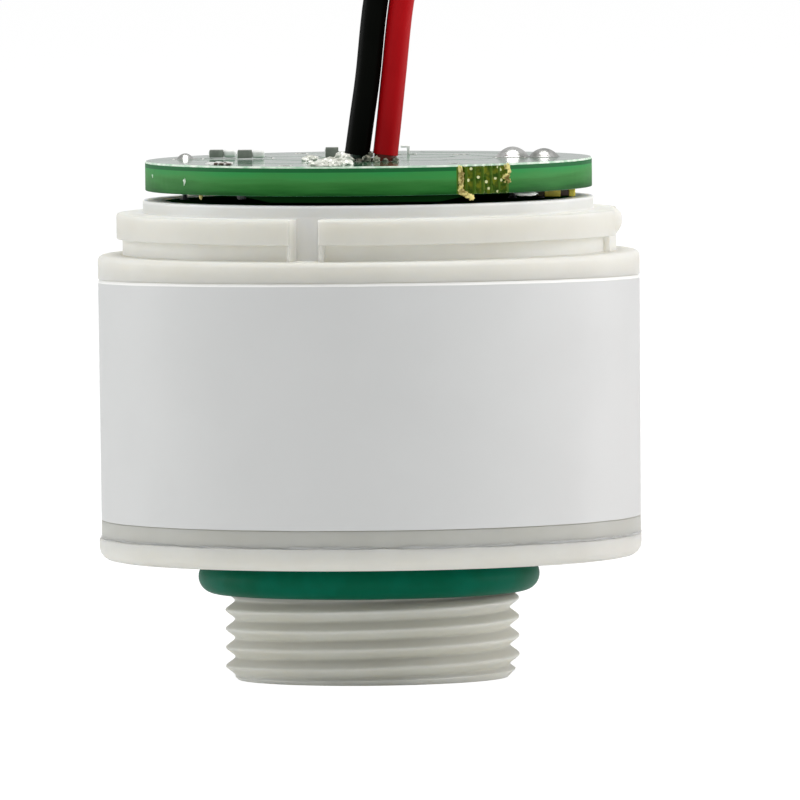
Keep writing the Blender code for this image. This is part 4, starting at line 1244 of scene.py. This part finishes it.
board_bm = profile_wire((
    (0.0, BOARD_BOTTOM, 0.0), (FLAT_RADIUS, BOARD_BOTTOM, 0.0), (BOARD_RADIUS, BOARD_BOTTOM, 0.06),
    (BOARD_RADIUS, BOARD_TOP - CUT_EDGE, 0.0), (BOARD_RADIUS - 0.05, BOARD_TOP, 0.0),
    (FLAT_RADIUS, BOARD_TOP, 0.0), (0.0, BOARD_TOP, 0.0),
), closed=False)
divide_run(board_bm, BOARD_BOTTOM + 0.06, BOARD_TOP - CUT_EDGE, BOARD_RADIUS, 12)
spin_full(board_bm, BOARD_STEPS)
for vert in board_bm.verts:
    radius = math.hypot(vert.co.x, vert.co.y)
    if radius > ROUGH_FROM_RADIUS * MM:
        cut = notch_depth(azimuth_of(vert))
        depth, frequency = TORN_ROUGHNESS if cut > 0.0 else EDGE_ROUGHNESS
        set_radius(vert, radius - (cut + depth * noise.noise(vert.co * frequency)) * MM)
bmesh.ops.recalc_face_normals(board_bm, faces=board_bm.faces)
for face in board_bm.faces:
    if abs(face.normal.z) < 0.75:
        face.material_index = LAMINATE
        middle = face.calc_center_median()
        azimuth = math.degrees(math.atan2(middle.x, -middle.y))
        if middle.z > (BOARD_TOP - CUT_EDGE) * MM:
            face.material_index = CUT
        elif notch_depth(azimuth) > 0.06:
            face.material_index = PLATED
        elif TAB_FROM < azimuth < TAB_TO:
            face.material_index = OLIVE
bmesh.ops.translate(board_bm, verts=board_bm.verts, vec=(BOARD_SHIFT * MM, 0.0, 0.0))
board_disc = make_piece(
    "board_disc", board_bm, [lacquer_green, laminate_edge, plated_holes, cut_lacquer, olive_laminate]
)
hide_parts("circuit_board")
print("board faces:", len(board_disc.data.polygons))

# %% [markdown]
# ## Lumps, drops and blocks
#
# Solder and flux set as uneven lumps. A lump starts as an icosphere, noise pushes its points in and
# out, and whatever would sink into the board is flattened on it. Chips are bevelled blocks with
# softer tinned ends.

# %% Helpers for small things on the board
HANGING_FREE = 20.0


def join_into(bm, piece):
    """Add a bmesh to another one and free it."""
    holder = bpy.data.meshes.new("holder")
    piece.to_mesh(holder)
    piece.free()
    bm.from_mesh(holder)
    bpy.data.meshes.remove(holder)


def add_lump(bm, place, size, seed, unevenness=0.3, floor=BOARD_TOP, detail=3):
    """Add an uneven blob centred at place, with half sizes in mm, flattened where it meets the floor."""
    made = bmesh.ops.create_icosphere(bm, subdivisions=detail, radius=1.0)
    for vert in made["verts"]:
        push = 1.0 + unevenness * noise.noise(vert.co * 1.9 + Vector((seed * 7.3, seed, 0.0)))
        x, y, z = (place[axis] + vert.co[axis] * size[axis] * push for axis in range(3))
        vert.co = Vector((x, y, max(z, floor + 0.004))) * MM


def add_block(bm, place, size, edge, turn=0.0, segments=3):
    """Add a block with rounded edges, centred at place, with full sizes in mm."""
    piece = bmesh.new()
    shape = Matrix.Translation(Vector(place) * MM) @ Matrix.Rotation(math.radians(turn), 4, "Z")
    bmesh.ops.create_cube(piece, size=1.0)
    bmesh.ops.scale(piece, verts=piece.verts, vec=Vector(size) * MM)
    bmesh.ops.bevel(
        piece, geom=piece.edges[:], offset=edge * MM, segments=segments, profile=0.5, affect="EDGES",
        material=-1,
    )
    bmesh.ops.transform(piece, matrix=shape, verts=piece.verts)
    join_into(bm, piece)


def block_piece(name, blocks, finish, edge=0.05):
    """One piece of one or more rounded blocks."""
    bm = bmesh.new()
    for place, size, turn in blocks:
        add_block(bm, place, size, edge, turn)
    piece = make_piece(name, bm, [finish])
    return piece


print("lump and block helpers ready")

# %% A helper for solder drops
DROP_RINGS = 14


def solder_drop(name, place, radius, height, seed):
    """A domed drop with a thin foot, a little uneven."""
    profile = []
    for index in range(DROP_RINGS + 1):
        share = index / DROP_RINGS
        dome = height * (1.0 - share**2.0) ** 0.9
        profile.append((radius * share, BOARD_TOP + dome + 0.012, 0.0))
    profile.append((radius * 1.10, BOARD_TOP + 0.004, 0.0))
    profile.append((0.0, BOARD_TOP + 0.002, 0.0))
    bm = profile_wire(profile, closed=False)
    spin_full(bm, 48)
    for vert in bm.verts:
        push = 1.0 + 0.05 * noise.noise(vert.co * 1600.0 + Vector((seed, 0.0, 0.0)))
        vert.co = Vector((vert.co.x * push + place[0] * MM, vert.co.y * push + place[1] * MM, vert.co.z))
    piece = make_piece(name, bm, [bright_solder], sharp=60.0)
    return piece


print("drop helper ready")

# %% The drops over the three pins
PIN_LEFT = (-9.95, 2.5)
PIN_RIGHT_INNER = (7.83, 0.0)
PIN_RIGHT_OUTER = (9.30, 0.0)
drop_left = solder_drop("drop_left", (-9.90, 2.5), 0.46, 0.29, 1.0)
drop_inner = solder_drop("drop_right_inner", (7.85, 0.0), 0.92, 0.56, 2.0)
drop_outer = solder_drop("drop_right_outer", (9.55, -0.1), 0.82, 0.46, 3.0)
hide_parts("pin_joint_left")
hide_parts("pin_joint_right_inner")
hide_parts("pin_joint_right_outer")
print("drops made: 3")

# %% The pins below the board, thin and dull
PIN_BOTTOM = 18.73
PIN_RADIUS = 0.3


def thin_pin(name, place, radius, node):
    """A pin that is thin where the gap under the board shows it."""
    bm = profile_wire((
        (0.0, PIN_BOTTOM, 0.0), (PIN_RADIUS, PIN_BOTTOM, 0.03), (PIN_RADIUS, RIM_TOP - 0.12, 0.02),
        (radius, RIM_TOP, 0.04), (radius, BOARD_BOTTOM - 0.2, 0.08), (PIN_RADIUS, BOARD_BOTTOM - 0.02, 0.04),
        (PIN_RADIUS, BOARD_TOP - 0.01, 0.0), (0.0, BOARD_TOP - 0.01, 0.0),
    ), closed=False)
    spin_full(bm, 24)
    bmesh.ops.translate(bm, verts=bm.verts, vec=(place[0] * MM, place[1] * MM, 0.0))
    piece = make_piece(name, bm, [dull_lead])
    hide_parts(node)


thin_pin("pin_left_wire", PIN_LEFT, 0.12, "pin_left")
thin_pin("pin_right_inner_wire", PIN_RIGHT_INNER, 0.16, "pin_right_inner")
thin_pin("pin_right_outer_wire", PIN_RIGHT_OUTER, 0.18, "pin_right_outer")
print("pins made: 3")

# %% Chips with their tinned ends
def chip(name, place, body, end, node, lift=0.0):
    """A dark block with a bright rounded end on its right and a thin bright foot on its left."""
    x, y = place
    middle = BOARD_TOP + lift + body[2] / 2 + 0.01
    blocks = [((x - end[0] / 2, y, middle), body, 0.0)]
    block = block_piece(name + "_body", blocks, chip_grey, 0.035)
    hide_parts(node)
    bm = bmesh.new()
    right = (x + body[0] / 2, y, BOARD_TOP + lift + end[2] / 2)
    add_block(bm, right, end, min(end) * 0.36, 0.0, 5)
    tinned = make_piece(name + "_end", bm, [chip_silver], sharp=60.0)
    foot_bm = bmesh.new()
    left = (x - end[0] / 2 - body[0] / 2 + 0.02, y, middle - 0.03)
    add_block(foot_bm, left, (0.12, body[1] * 0.9, body[2] * 0.8), 0.04)
    foot = make_piece(name + "_foot", foot_bm, [chip_silver], sharp=60.0)


chip("chip_left_back", (-7.86, 2.3), (0.76, 0.80, 0.41), (0.68, 0.74, 0.42), "chip_left_back", 0.06)
chip("chip_left_front", (-6.31, 1.1), (0.78, 0.80, 0.44), (0.68, 0.74, 0.41), "chip_left_front", 0.05)
chip("chip_middle", (-1.86, 1.8), (0.70, 1.0, 0.56), (0.14, 0.9, 0.36), "chip_middle")
RIGHT_CHIP_BLOCKS = (
    ((2.22, 5.9, BOARD_TOP + 0.25), (0.17, 1.0, 0.48), 0.0),
    ((1.98, 5.9, BOARD_TOP + 0.44), (0.36, 1.0, 0.10), 0.0),
)
right_chip = block_piece("chip_right_body", RIGHT_CHIP_BLOCKS, chip_silver, 0.04)
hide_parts("chip_right")
print("chips made: 4")

# %% The temperature sensor under the board's right edge
SENSOR_PLACE = (10.1, -2.9)
SENSOR_TURN = 12.0
SENSOR_SIZE = (2.1, 0.9, 0.44)
SENSOR_MIDDLE = BOARD_BOTTOM - 0.01 - SENSOR_SIZE[2] / 2
# The first band is a dark block of painted shadow at the sensor's left.
SENSOR_BANDS = (
    ("sensor_shadow_block", -0.85, 0.42, 0.92, sensor_shadow_olive), ("sensor_left_end", -0.22, 0.88, 1.0, sensor_gold),
    ("sensor_body", 0.45, 0.52, 0.9, sensor_brown), ("sensor_right_end", 0.86, 0.36, 1.0, sensor_gold),
)
along_sensor = Vector((math.cos(math.radians(SENSOR_TURN)), math.sin(math.radians(SENSOR_TURN)), 0.0))
for name, along, length, share, finish in SENSOR_BANDS:
    middle = Vector((*SENSOR_PLACE, SENSOR_MIDDLE)) + along_sensor * along
    size = (length, SENSOR_SIZE[1] * share, SENSOR_SIZE[2] * share)
    band = block_piece(name, [(tuple(middle), size, SENSOR_TURN)], finish, 0.05)
    if name == "sensor_body":
        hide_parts("thermistor")
print("sensor made")

# %% Crumbs of solder and flux on the board
FLUX_LUMPS = (
    (-3.15, -2.6, 0.24), (-2.85, -2.4, 0.18), (-3.35, -2.9, 0.16), (-1.35, -2.6, 0.34),
    (-1.15, -5.0, 0.30), (-1.45, -7.6, 0.26), (-1.10, -9.4, 0.24), (-2.90, -11.2, 0.20),
    (-2.75, -9.0, 0.16), (-2.45, -11.4, 0.28), (-2.05, -10.4, 0.34), (-1.75, -11.5, 0.26),
    (-1.45, -10.8, 0.22), (-2.25, -8.0, 0.22), (-1.80, -6.4, 0.20), (-3.05, -7.0, 0.13),
    (-2.60, -5.2, 0.12),
)
STRAY_CRUMBS = 6
crumbs_bm = bmesh.new()
random.seed(7)
for index, (x, y, half) in enumerate(FLUX_LUMPS):
    size = (half * 1.35, half * 1.4, half * 0.95)
    add_lump(crumbs_bm, (x, y, BOARD_TOP + half * 0.35), size, index * 1.7, 0.4)
for index in range(STRAY_CRUMBS):
    x = random.uniform(-3.1, -0.9)
    y = random.uniform(-11.2, -5.4)
    half = random.uniform(0.07, 0.15)
    size = (half * 1.3, half * 1.2, half)
    add_lump(crumbs_bm, (x, y, BOARD_TOP + half * 0.3), size, index * 1.3 + 20.0, 0.6)
solder_crumbs = make_piece("solder_crumbs", crumbs_bm, [crusty_solder], sharp=60.0)
print("flux lumps:", len(FLUX_LUMPS))

# %% A pale pad on the left and the scorched flux on it
PAD_LUMPS = ((-8.45, -5.4, 0.28), (-8.05, -4.2, 0.22), (-7.55, -5.4, 0.34))
SCORCH_LUMPS = ((-8.15, -6.9, 0.11), (-7.85, -7.4, 0.14), (-7.45, -7.8, 0.16), (-7.65, -6.2, 0.10))
pad_bm = bmesh.new()
for index, (x, y, half) in enumerate(PAD_LUMPS):
    add_lump(pad_bm, (x, y, BOARD_TOP), (half, half * 7.0, 0.06), index + 60.0, 0.4)
rough_pad = make_piece("rough_pad", pad_bm, [white_print], sharp=60.0)

scorch_bm = bmesh.new()
for index, (x, y, half) in enumerate(SCORCH_LUMPS):
    add_lump(scorch_bm, (x, y, BOARD_TOP + 0.05), (half, half * 3.0, 0.05), index + 70.0, 0.5)
scorched_flux = make_piece("scorched_flux", scorch_bm, [sensor_brown], sharp=60.0)
print("pad lumps:", len(PAD_LUMPS), len(SCORCH_LUMPS))

# %% Lumps on the board's edge
LUMP_CIRCLE = 12.03


def edge_lumps(name, lumps, finish, reach=0.13):
    """Lumps given by azimuth, height, half width and half height, on the board's edge."""
    bm = bmesh.new()
    for azimuth, height, half, tall in lumps:
        angle = math.radians(azimuth)
        place = (BOARD_SHIFT + LUMP_CIRCLE * math.sin(angle), -LUMP_CIRCLE * math.cos(angle), height)
        add_lump(bm, place, (half, reach, tall), azimuth * height, 0.6, floor=HANGING_FREE)
    piece = make_piece(name, bm, [finish], sharp=60.0)


TAB_LUMPS = (
    (24.0, 27.90, 0.15, 0.20), (24.3, 27.60, 0.17, 0.19), (24.0, 27.30, 0.18, 0.22),
    (24.4, 27.02, 0.16, 0.18), (24.0, 26.74, 0.25, 0.17), (25.1, 26.62, 0.18, 0.15),
    (26.4, 26.46, 0.20, 0.14), (27.3, 26.40, 0.15, 0.16), (38.1, 27.97, 0.18, 0.18),
    (38.6, 27.72, 0.15, 0.20), (37.9, 27.45, 0.19, 0.17), (38.3, 27.20, 0.18, 0.16),
)
EDGE_FLECKS = ((-55.1, 27.24, 0.08, 0.22), (-74.5, 27.46, 0.08, 0.12))
edge_lumps("tab_lumps", TAB_LUMPS, torn_gold)
edge_lumps("edge_flecks", EDGE_FLECKS, cut_lacquer, 0.16)


def hanging_lump(name, place, size, seed, unevenness, finish):
    """One lump under the board. Place is (x, y, how far below the board)."""
    bm = bmesh.new()
    x, y, below = place
    add_lump(bm, (x, y, BOARD_BOTTOM - below), size, seed, unevenness, floor=HANGING_FREE)
    piece = make_piece(name, bm, [finish], sharp=60.0)


hanging_lump("under_gold", (-8.97, -7.4, 0.12), (0.10, 0.10, 0.15), 3.0, 0.4, torn_gold)
print("edge lumps:", len(TAB_LUMPS) + len(EDGE_FLECKS))

# %% [markdown]
# ## Painted shade under the board
#
# A dark green sheet hangs under the board's front edge as painted shade in the gap between board
# and can, a dark line that thins out at both ends. An upright wire is swept part of a turn, its
# lower end is drawn up towards both ends, and solidify gives it a body.

# %% Sweep the painted shade sheet and hang two lumps beside it
SHADE_SHEET_RADIUS = 11.9
SHADE_SHEET_HEIGHT = 0.34
SHADE_SHEET_FROM = -34.0
SHADE_SHEET_TO = 27.0
SHADE_SHEET_STEPS = 60
SHADE_SHEET_THICKNESS = 0.4
SHADE_SHEET_FADE = 9.0
SHADE_SHEET_END_SHARE = 0.12
SHADE_SHEET_LEAST = 0.03
shade_sheet_bm = bmesh.new()
upper = shade_sheet_bm.verts.new((SHADE_SHEET_RADIUS * MM, 0.0, (BOARD_BOTTOM - 0.01) * MM))
lower = shade_sheet_bm.verts.new((SHADE_SHEET_RADIUS * MM, 0.0, (BOARD_BOTTOM - SHADE_SHEET_HEIGHT) * MM))
shade_sheet_bm.edges.new((lower, upper))
sweep(shade_sheet_bm, SHADE_SHEET_FROM, SHADE_SHEET_TO - SHADE_SHEET_FROM, SHADE_SHEET_STEPS)
for vert in shade_sheet_bm.verts:
    depth = BOARD_BOTTOM - vert.co.z / MM
    if depth > 0.1:
        azimuth = azimuth_of(vert)
        to_end = min(azimuth - SHADE_SHEET_FROM, SHADE_SHEET_TO - azimuth)
        fade = min(1.0, SHADE_SHEET_END_SHARE + to_end / SHADE_SHEET_FADE)
        vert.co.z = (BOARD_BOTTOM - max(SHADE_SHEET_LEAST, depth * fade)) * MM
bmesh.ops.recalc_face_normals(shade_sheet_bm, faces=shade_sheet_bm.faces)
bmesh.ops.solidify(shade_sheet_bm, geom=shade_sheet_bm.faces[:], thickness=SHADE_SHEET_THICKNESS * MM)
bmesh.ops.translate(shade_sheet_bm, verts=shade_sheet_bm.verts, vec=(BOARD_SHIFT * MM, 0.0, 0.0))
painted_shade_sheet = make_piece("painted_shade_sheet", shade_sheet_bm, [painted_shade_green], sharp=50.0)
hanging_lump("under_flux", (8.5, -7.7, 0.12), (0.64, 0.3, 0.12), 8.0, 0.25, chip_silver)
hanging_lump("under_solder", (-6.78, -8.9, 0.10), (0.24, 0.2, 0.14), 5.0, 0.4, dull_lead)
print("resin faces:", len(painted_shade_sheet.data.polygons))

# %% [markdown]
# ## The leads' soldered feet
#
# Each lead is stripped for less than half a millimetre. Its core, stained green on the black lead
# and red on the other, goes into the board, and dirty solder stands round it in lumps.

# %% Cores and joints
BLACK_FOOT = (-0.56, -4.0)
RED_FOOT = (0.97, -4.0)
CORE_SEEN = 0.42
CORE_TAIL_RADIUS = 0.25
LUMPS_ROUND = 7


def lead_foot(name, foot, finish, radius, seed, extra):
    """A stripped core with a ring of solder lumps round it. Extra lumps are (x, y, z, half size)."""
    core_bm = profile_wire((
        (0.0, BOARD_BOTTOM, 0.0), (CORE_TAIL_RADIUS, BOARD_BOTTOM, 0.0), (radius, BOARD_TOP, 0.05),
        (radius, BOARD_TOP + CORE_SEEN, 0.05), (0.0, BOARD_TOP + CORE_SEEN, 0.0),
    ), closed=False)
    spin_full(core_bm, 24)
    bmesh.ops.translate(core_bm, verts=core_bm.verts, vec=(foot[0] * MM, foot[1] * MM, 0.0))
    core = make_piece(name + "_strands", core_bm, [finish])
    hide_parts(name + "_core")
    joint_bm = bmesh.new()
    for index in range(LUMPS_ROUND):
        angle = math.tau * index / LUMPS_ROUND + seed
        reach = radius + 0.10 + 0.08 * math.sin(seed * 3.1 + index * 2.3)
        half = 0.13 + 0.05 * math.sin(index * 1.9 + seed)
        place = (foot[0] + reach * math.cos(angle), foot[1] + reach * math.sin(angle), BOARD_TOP + half * 0.4)
        add_lump(joint_bm, place, (half, half, half * 0.8), seed + index * 2.1, 0.45)
    for index, (x, y, z, half) in enumerate(extra):
        place = (foot[0] + x, foot[1] + y, BOARD_TOP + z)
        add_lump(joint_bm, place, (half, half, half), seed * index + 4.0, 0.6)
    joint = make_piece(name + "_solder", joint_bm, [dirty_solder], sharp=60.0)
    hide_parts(name + "_joint")


BLACK_EXTRA = ((0.70, -0.3, 0.36, 0.15), (0.52, -0.9, 0.14, 0.20), (-0.72, -1.2, 0.10, 0.18))
RED_EXTRA = ((-0.50, -1.4, 0.10, 0.20), (0.58, -1.3, 0.08, 0.14))
lead_foot("black", BLACK_FOOT, teal_core, 0.36, 1.3, BLACK_EXTRA)
lead_foot("red", RED_FOOT, red_core, 0.60, 2.9, RED_EXTRA)
print("lead feet made: 2")

# %% [markdown]
# ## What shows from above: traces, rings and print
#
# Copper traces lie under the lacquer as faint raised lines of a lighter green. Bare plated rings
# mark the through holes, and thin white print frames the chips. None of it is lettering.

# %% Traces
TRACE_HEIGHT = 0.005
TRACE_WIDTH = 0.30


def add_trace(bm, points, width):
    """A flat strip with round joints along points on the board."""
    for first, second in zip(points, points[1:]):
        run = Vector((second[0] - first[0], second[1] - first[1], 0.0))
        middle = ((first[0] + second[0]) / 2, (first[1] + second[1]) / 2, BOARD_TOP + TRACE_HEIGHT / 2)
        turn = math.degrees(math.atan2(run.y, run.x))
        add_block(bm, middle, (run.length, width, TRACE_HEIGHT), 0.002, turn, 1)
    for x, y in points:
        spot = Matrix.Translation(Vector((x, y, BOARD_TOP + TRACE_HEIGHT / 2)) * MM)
        bmesh.ops.create_cone(
            bm, cap_ends=True, segments=20, radius1=width / 2 * MM, radius2=width / 2 * MM,
            depth=TRACE_HEIGHT * MM, matrix=spot,
        )


trace_bm = bmesh.new()
TRACES = (
    ((-9.95, 2.5), (-9.0, 2.4), (-8.4, 2.3)),
    ((-7.3, 2.3), (-5.6, 4.4), (-2.6, 4.0), (-2.1, 2.6)),
    ((-6.9, 1.1), (-7.6, 0.2), (-9.2, 0.4), (-9.95, 2.5)),
    ((-5.8, 1.1), (-3.0, -2.4), (-0.56, -4.0)),
    ((-1.4, 1.8), (0.2, 4.6), (1.7, 5.9)),
    ((2.4, 5.9), (5.4, 4.6), (7.0, 1.2), (7.83, 0.0)),
    ((0.97, -4.0), (4.2, -3.6), (6.6, -1.6), (7.83, 0.0)),
    ((9.3, 0.0), (9.6, 2.6), (7.2, 6.6), (3.0, 9.4), (-3.6, 9.2)),
    ((-3.1, 3.3), (-1.2, 1.2), (1.8, 0.6), (4.6, 1.8), (5.0, 5.0)),
    ((-8.0, -3.9), (-6.4, -5.6), (-3.4, -7.0), (-2.2, -7.4)),
)
for route in TRACES:
    add_trace(trace_bm, route, TRACE_WIDTH)
copper_traces = make_piece("copper_traces", trace_bm, [trace_green])
print("traces:", len(TRACES))

# %% Plated rings, as (x, y, outer radius, inner radius)
RING_LOW = BOARD_TOP + 0.002
RING_HIGH = BOARD_TOP + 0.010
PLATED_RINGS = (
    (-9.95, 2.5, 0.75, 0.3), (7.83, 0.0, 1.08, 0.3), (9.42, -0.1, 0.80, 0.3),
    (-0.56, -4.0, 0.85, 0.25), (0.97, -4.0, 0.85, 0.25), (-3.6, 9.2, 0.40, 0.16),
    (5.0, 5.0, 0.40, 0.16), (4.6, -8.6, 0.40, 0.16), (-4.4, -9.6, 0.40, 0.16),
)
rings_bm = bmesh.new()
for x, y, outer, inner in PLATED_RINGS:
    ring = profile_wire((
        (inner, RING_LOW, 0.0), (outer, RING_LOW, 0.0), (outer, RING_HIGH, 0.0), (inner, RING_HIGH, 0.0),
    ))
    spin_full(ring, 36)
    bmesh.ops.translate(ring, verts=ring.verts, vec=(x * MM, y * MM, 0.0))
    join_into(rings_bm, ring)
plated_rings = make_piece("plated_rings", rings_bm, [tinned_copper])
print("plated rings:", len(PLATED_RINGS))

# %% Print round the chips, as (x, y, half width, half depth)
PRINT_WIDTH = 0.10
PRINT_HEIGHT = 0.016
PRINT_FRAMES = ((-7.02, 1.7, 1.9, 1.2), (-1.95, 1.8, 0.75, 0.8), (2.05, 5.9, 0.6, 0.8))
print_bm = bmesh.new()
for x, y, half_x, half_y in PRINT_FRAMES:
    for side in (-1, 1):
        place_long = (x, y + side * half_y, BOARD_TOP + PRINT_HEIGHT / 2)
        add_block(print_bm, place_long, (half_x * 2, PRINT_WIDTH, PRINT_HEIGHT), 0.004, 0.0, 1)
        place_short = (x + side * half_x, y, BOARD_TOP + PRINT_HEIGHT / 2)
        add_block(print_bm, place_short, (PRINT_WIDTH, half_y * 2 + 0.1, PRINT_HEIGHT), 0.004, 0.0, 1)
board_print = make_piece("board_print", print_bm, [white_print])
print("print frames:", len(PRINT_FRAMES))

# %% [markdown]
# ## The leads' far end
#
# The two leads end in crimped contacts inside a small black socket housing. The housing is a
# bevelled block with two square cavities bored through it, cut with a boolean that is applied at
# once, so that the piece keeps a plain mesh. A soft strap holds the coil together.

# %% Cut one bmesh out of another
def cut_away(bm, tool):
    """Return a bmesh with the tool's shape removed."""
    objects = []
    for label, mesh_in in (("keep", bm), ("tool", tool)):
        bmesh.ops.recalc_face_normals(mesh_in, faces=mesh_in.faces)
        mesh = bpy.data.meshes.new(label)
        mesh_in.to_mesh(mesh)
        mesh_in.free()
        made = bpy.data.objects.new(label, mesh)
        bpy.context.scene.collection.objects.link(made)
        objects.append(made)
    modifier = objects[0].modifiers.new("cut", "BOOLEAN")
    modifier.operation = "DIFFERENCE"
    modifier.solver = "EXACT"
    modifier.object = objects[1]
    seen_by = bpy.context.evaluated_depsgraph_get()
    result = bmesh.new()
    result.from_object(objects[0], seen_by)
    for made in objects:
        mesh = made.data
        bpy.data.objects.remove(made)
        bpy.data.meshes.remove(mesh)
    return result


print("cutting helper ready")

# %% The socket housing
CONNECTOR_SIZE = (5.1, 12.0, 5.0)
CONNECTOR_CENTRE_Y = CONNECTOR_REAR - CONNECTOR_SIZE[1] / 2
CAVITY_SIZE = (1.9, 14.0, 1.9)
LATCH_SIZE = (1.1, 2.4, 1.6)
housing_bm = bmesh.new()
add_block(housing_bm, (CONNECTOR_MIDDLE, CONNECTOR_CENTRE_Y, CONNECTOR_SIZE[2] / 2), CONNECTOR_SIZE, 0.3)
tool_bm = bmesh.new()
for side in (-1, 1):
    x = CONNECTOR_MIDDLE + side * CONTACT_PITCH / 2
    add_block(tool_bm, (x, CONNECTOR_CENTRE_Y, CAVITY_HEIGHT), CAVITY_SIZE, 0.12, 0.0, 2)
    add_block(tool_bm, (x, CONNECTOR_CENTRE_Y + 1.4, 4.6), LATCH_SIZE, 0.12, 0.0, 2)
housing_bm = cut_away(housing_bm, tool_bm)
socket_housing = make_piece("socket_housing", housing_bm, [black_nylon])
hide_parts("connector_housing")
print("socket faces:", len(socket_housing.data.polygons))

# %% Crimped contacts
CONTACT_MIDDLE_Y = -16.0
CONTACT_SIZE = (1.4, 4.4, 1.4)
HOLLOW_MIDDLE_Y = -17.0
HOLLOW_SIZE = (1.0, 4.0, 1.0)
CRIMP_MIDDLE_Y = -13.1
WING_SIZE = (0.16, 1.5, 1.1)
WING_AWAY = 0.62
CRIMP_FLOOR_SIZE = (1.3, 1.5, 0.16)
CRIMP_FLOOR_HEIGHT = CAVITY_HEIGHT - 0.6


def contact(name, side, node):
    """A box contact with a hollow front and two crimp wings behind."""
    x = CONNECTOR_MIDDLE + side * CONTACT_PITCH / 2
    front = bmesh.new()
    add_block(front, (x, CONTACT_MIDDLE_Y, CAVITY_HEIGHT), CONTACT_SIZE, 0.1)
    hollow = bmesh.new()
    add_block(hollow, (x, HOLLOW_MIDDLE_Y, CAVITY_HEIGHT), HOLLOW_SIZE, 0.06)
    bm = cut_away(front, hollow)
    for wing in (-1, 1):
        add_block(bm, (x + wing * WING_AWAY, CRIMP_MIDDLE_Y, CAVITY_HEIGHT), WING_SIZE, 0.05)
    add_block(bm, (x, CRIMP_MIDDLE_Y, CRIMP_FLOOR_HEIGHT), CRIMP_FLOOR_SIZE, 0.05)
    piece = make_piece(name, bm, [tinned_copper])
    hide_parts(node)
    return piece


black_contact = contact("black_crimp", -1, "black_contact")
red_contact = contact("red_crimp", 1, "red_contact")
print("contacts made: 2")

# %% The strap round the coil
STRAP = (38.0, 9.5)
STRAP_SIZE = (1.6, 3.42, 3.38)
STRAP_HOLE_SIZE = (4.0, 3.03, 2.98)
BUCKLE_PLACE = (STRAP[0], STRAP[1] + 1.78, 1.9)
BUCKLE_SIZE = (1.5, 0.5, 1.1)
strap_middle = (STRAP[0], STRAP[1], STRAP_SIZE[2] / 2)
strap_bm = bmesh.new()
add_block(strap_bm, strap_middle, STRAP_SIZE, 0.5, 0.0, 5)
strap_hole = bmesh.new()
add_block(strap_hole, strap_middle, STRAP_HOLE_SIZE, 0.35, 0.0, 5)
strap_bm = cut_away(strap_bm, strap_hole)
add_block(strap_bm, BUCKLE_PLACE, BUCKLE_SIZE, 0.12)
coil_strap = make_piece("coil_strap", strap_bm, [black_rubber])
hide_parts("lead_tie")
print("strap faces:", len(coil_strap.data.polygons))

# %% Count the leads
print("leads made: 2")

# %% [markdown]
# ## Finishes for the pieces that keep their solid shape
#
# The pieces inside the can are plain turned discs, washers and wires, which is what they really
# are. They keep their solids and only get a finish of their own through their material slots.

# %% Dress the inner pieces
INNER_FINISHES = {
    "dust_filter": white_felt, "separator_felt": white_felt, "upper_wick": white_felt,
    "gas_membrane": clear_film, "expansion_film": clear_film, "cathode": gold_electrode,
    "membrane_seal": black_rubber, "clamp_ring": can_plastic, "bulkhead": can_plastic,
    "lead_anode": dull_lead, "potting": black_resin, "cathode_wire": tinned_copper,
    "anode_wire": tinned_copper,
}
for name, finish in INNER_FINISHES.items():
    for slot in nodes[name].material_slots:
        slot.material = finish
print("inner pieces dressed:", len(INNER_FINISHES))

# %% Keep the sizes before and after, and finish
visual_box = [list(corner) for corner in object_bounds()]
growth = [round((after - before) / MM, 2) for before, after in zip(sum(cad_box, []), sum(visual_box, []))]
print("size growth in mm:", growth)
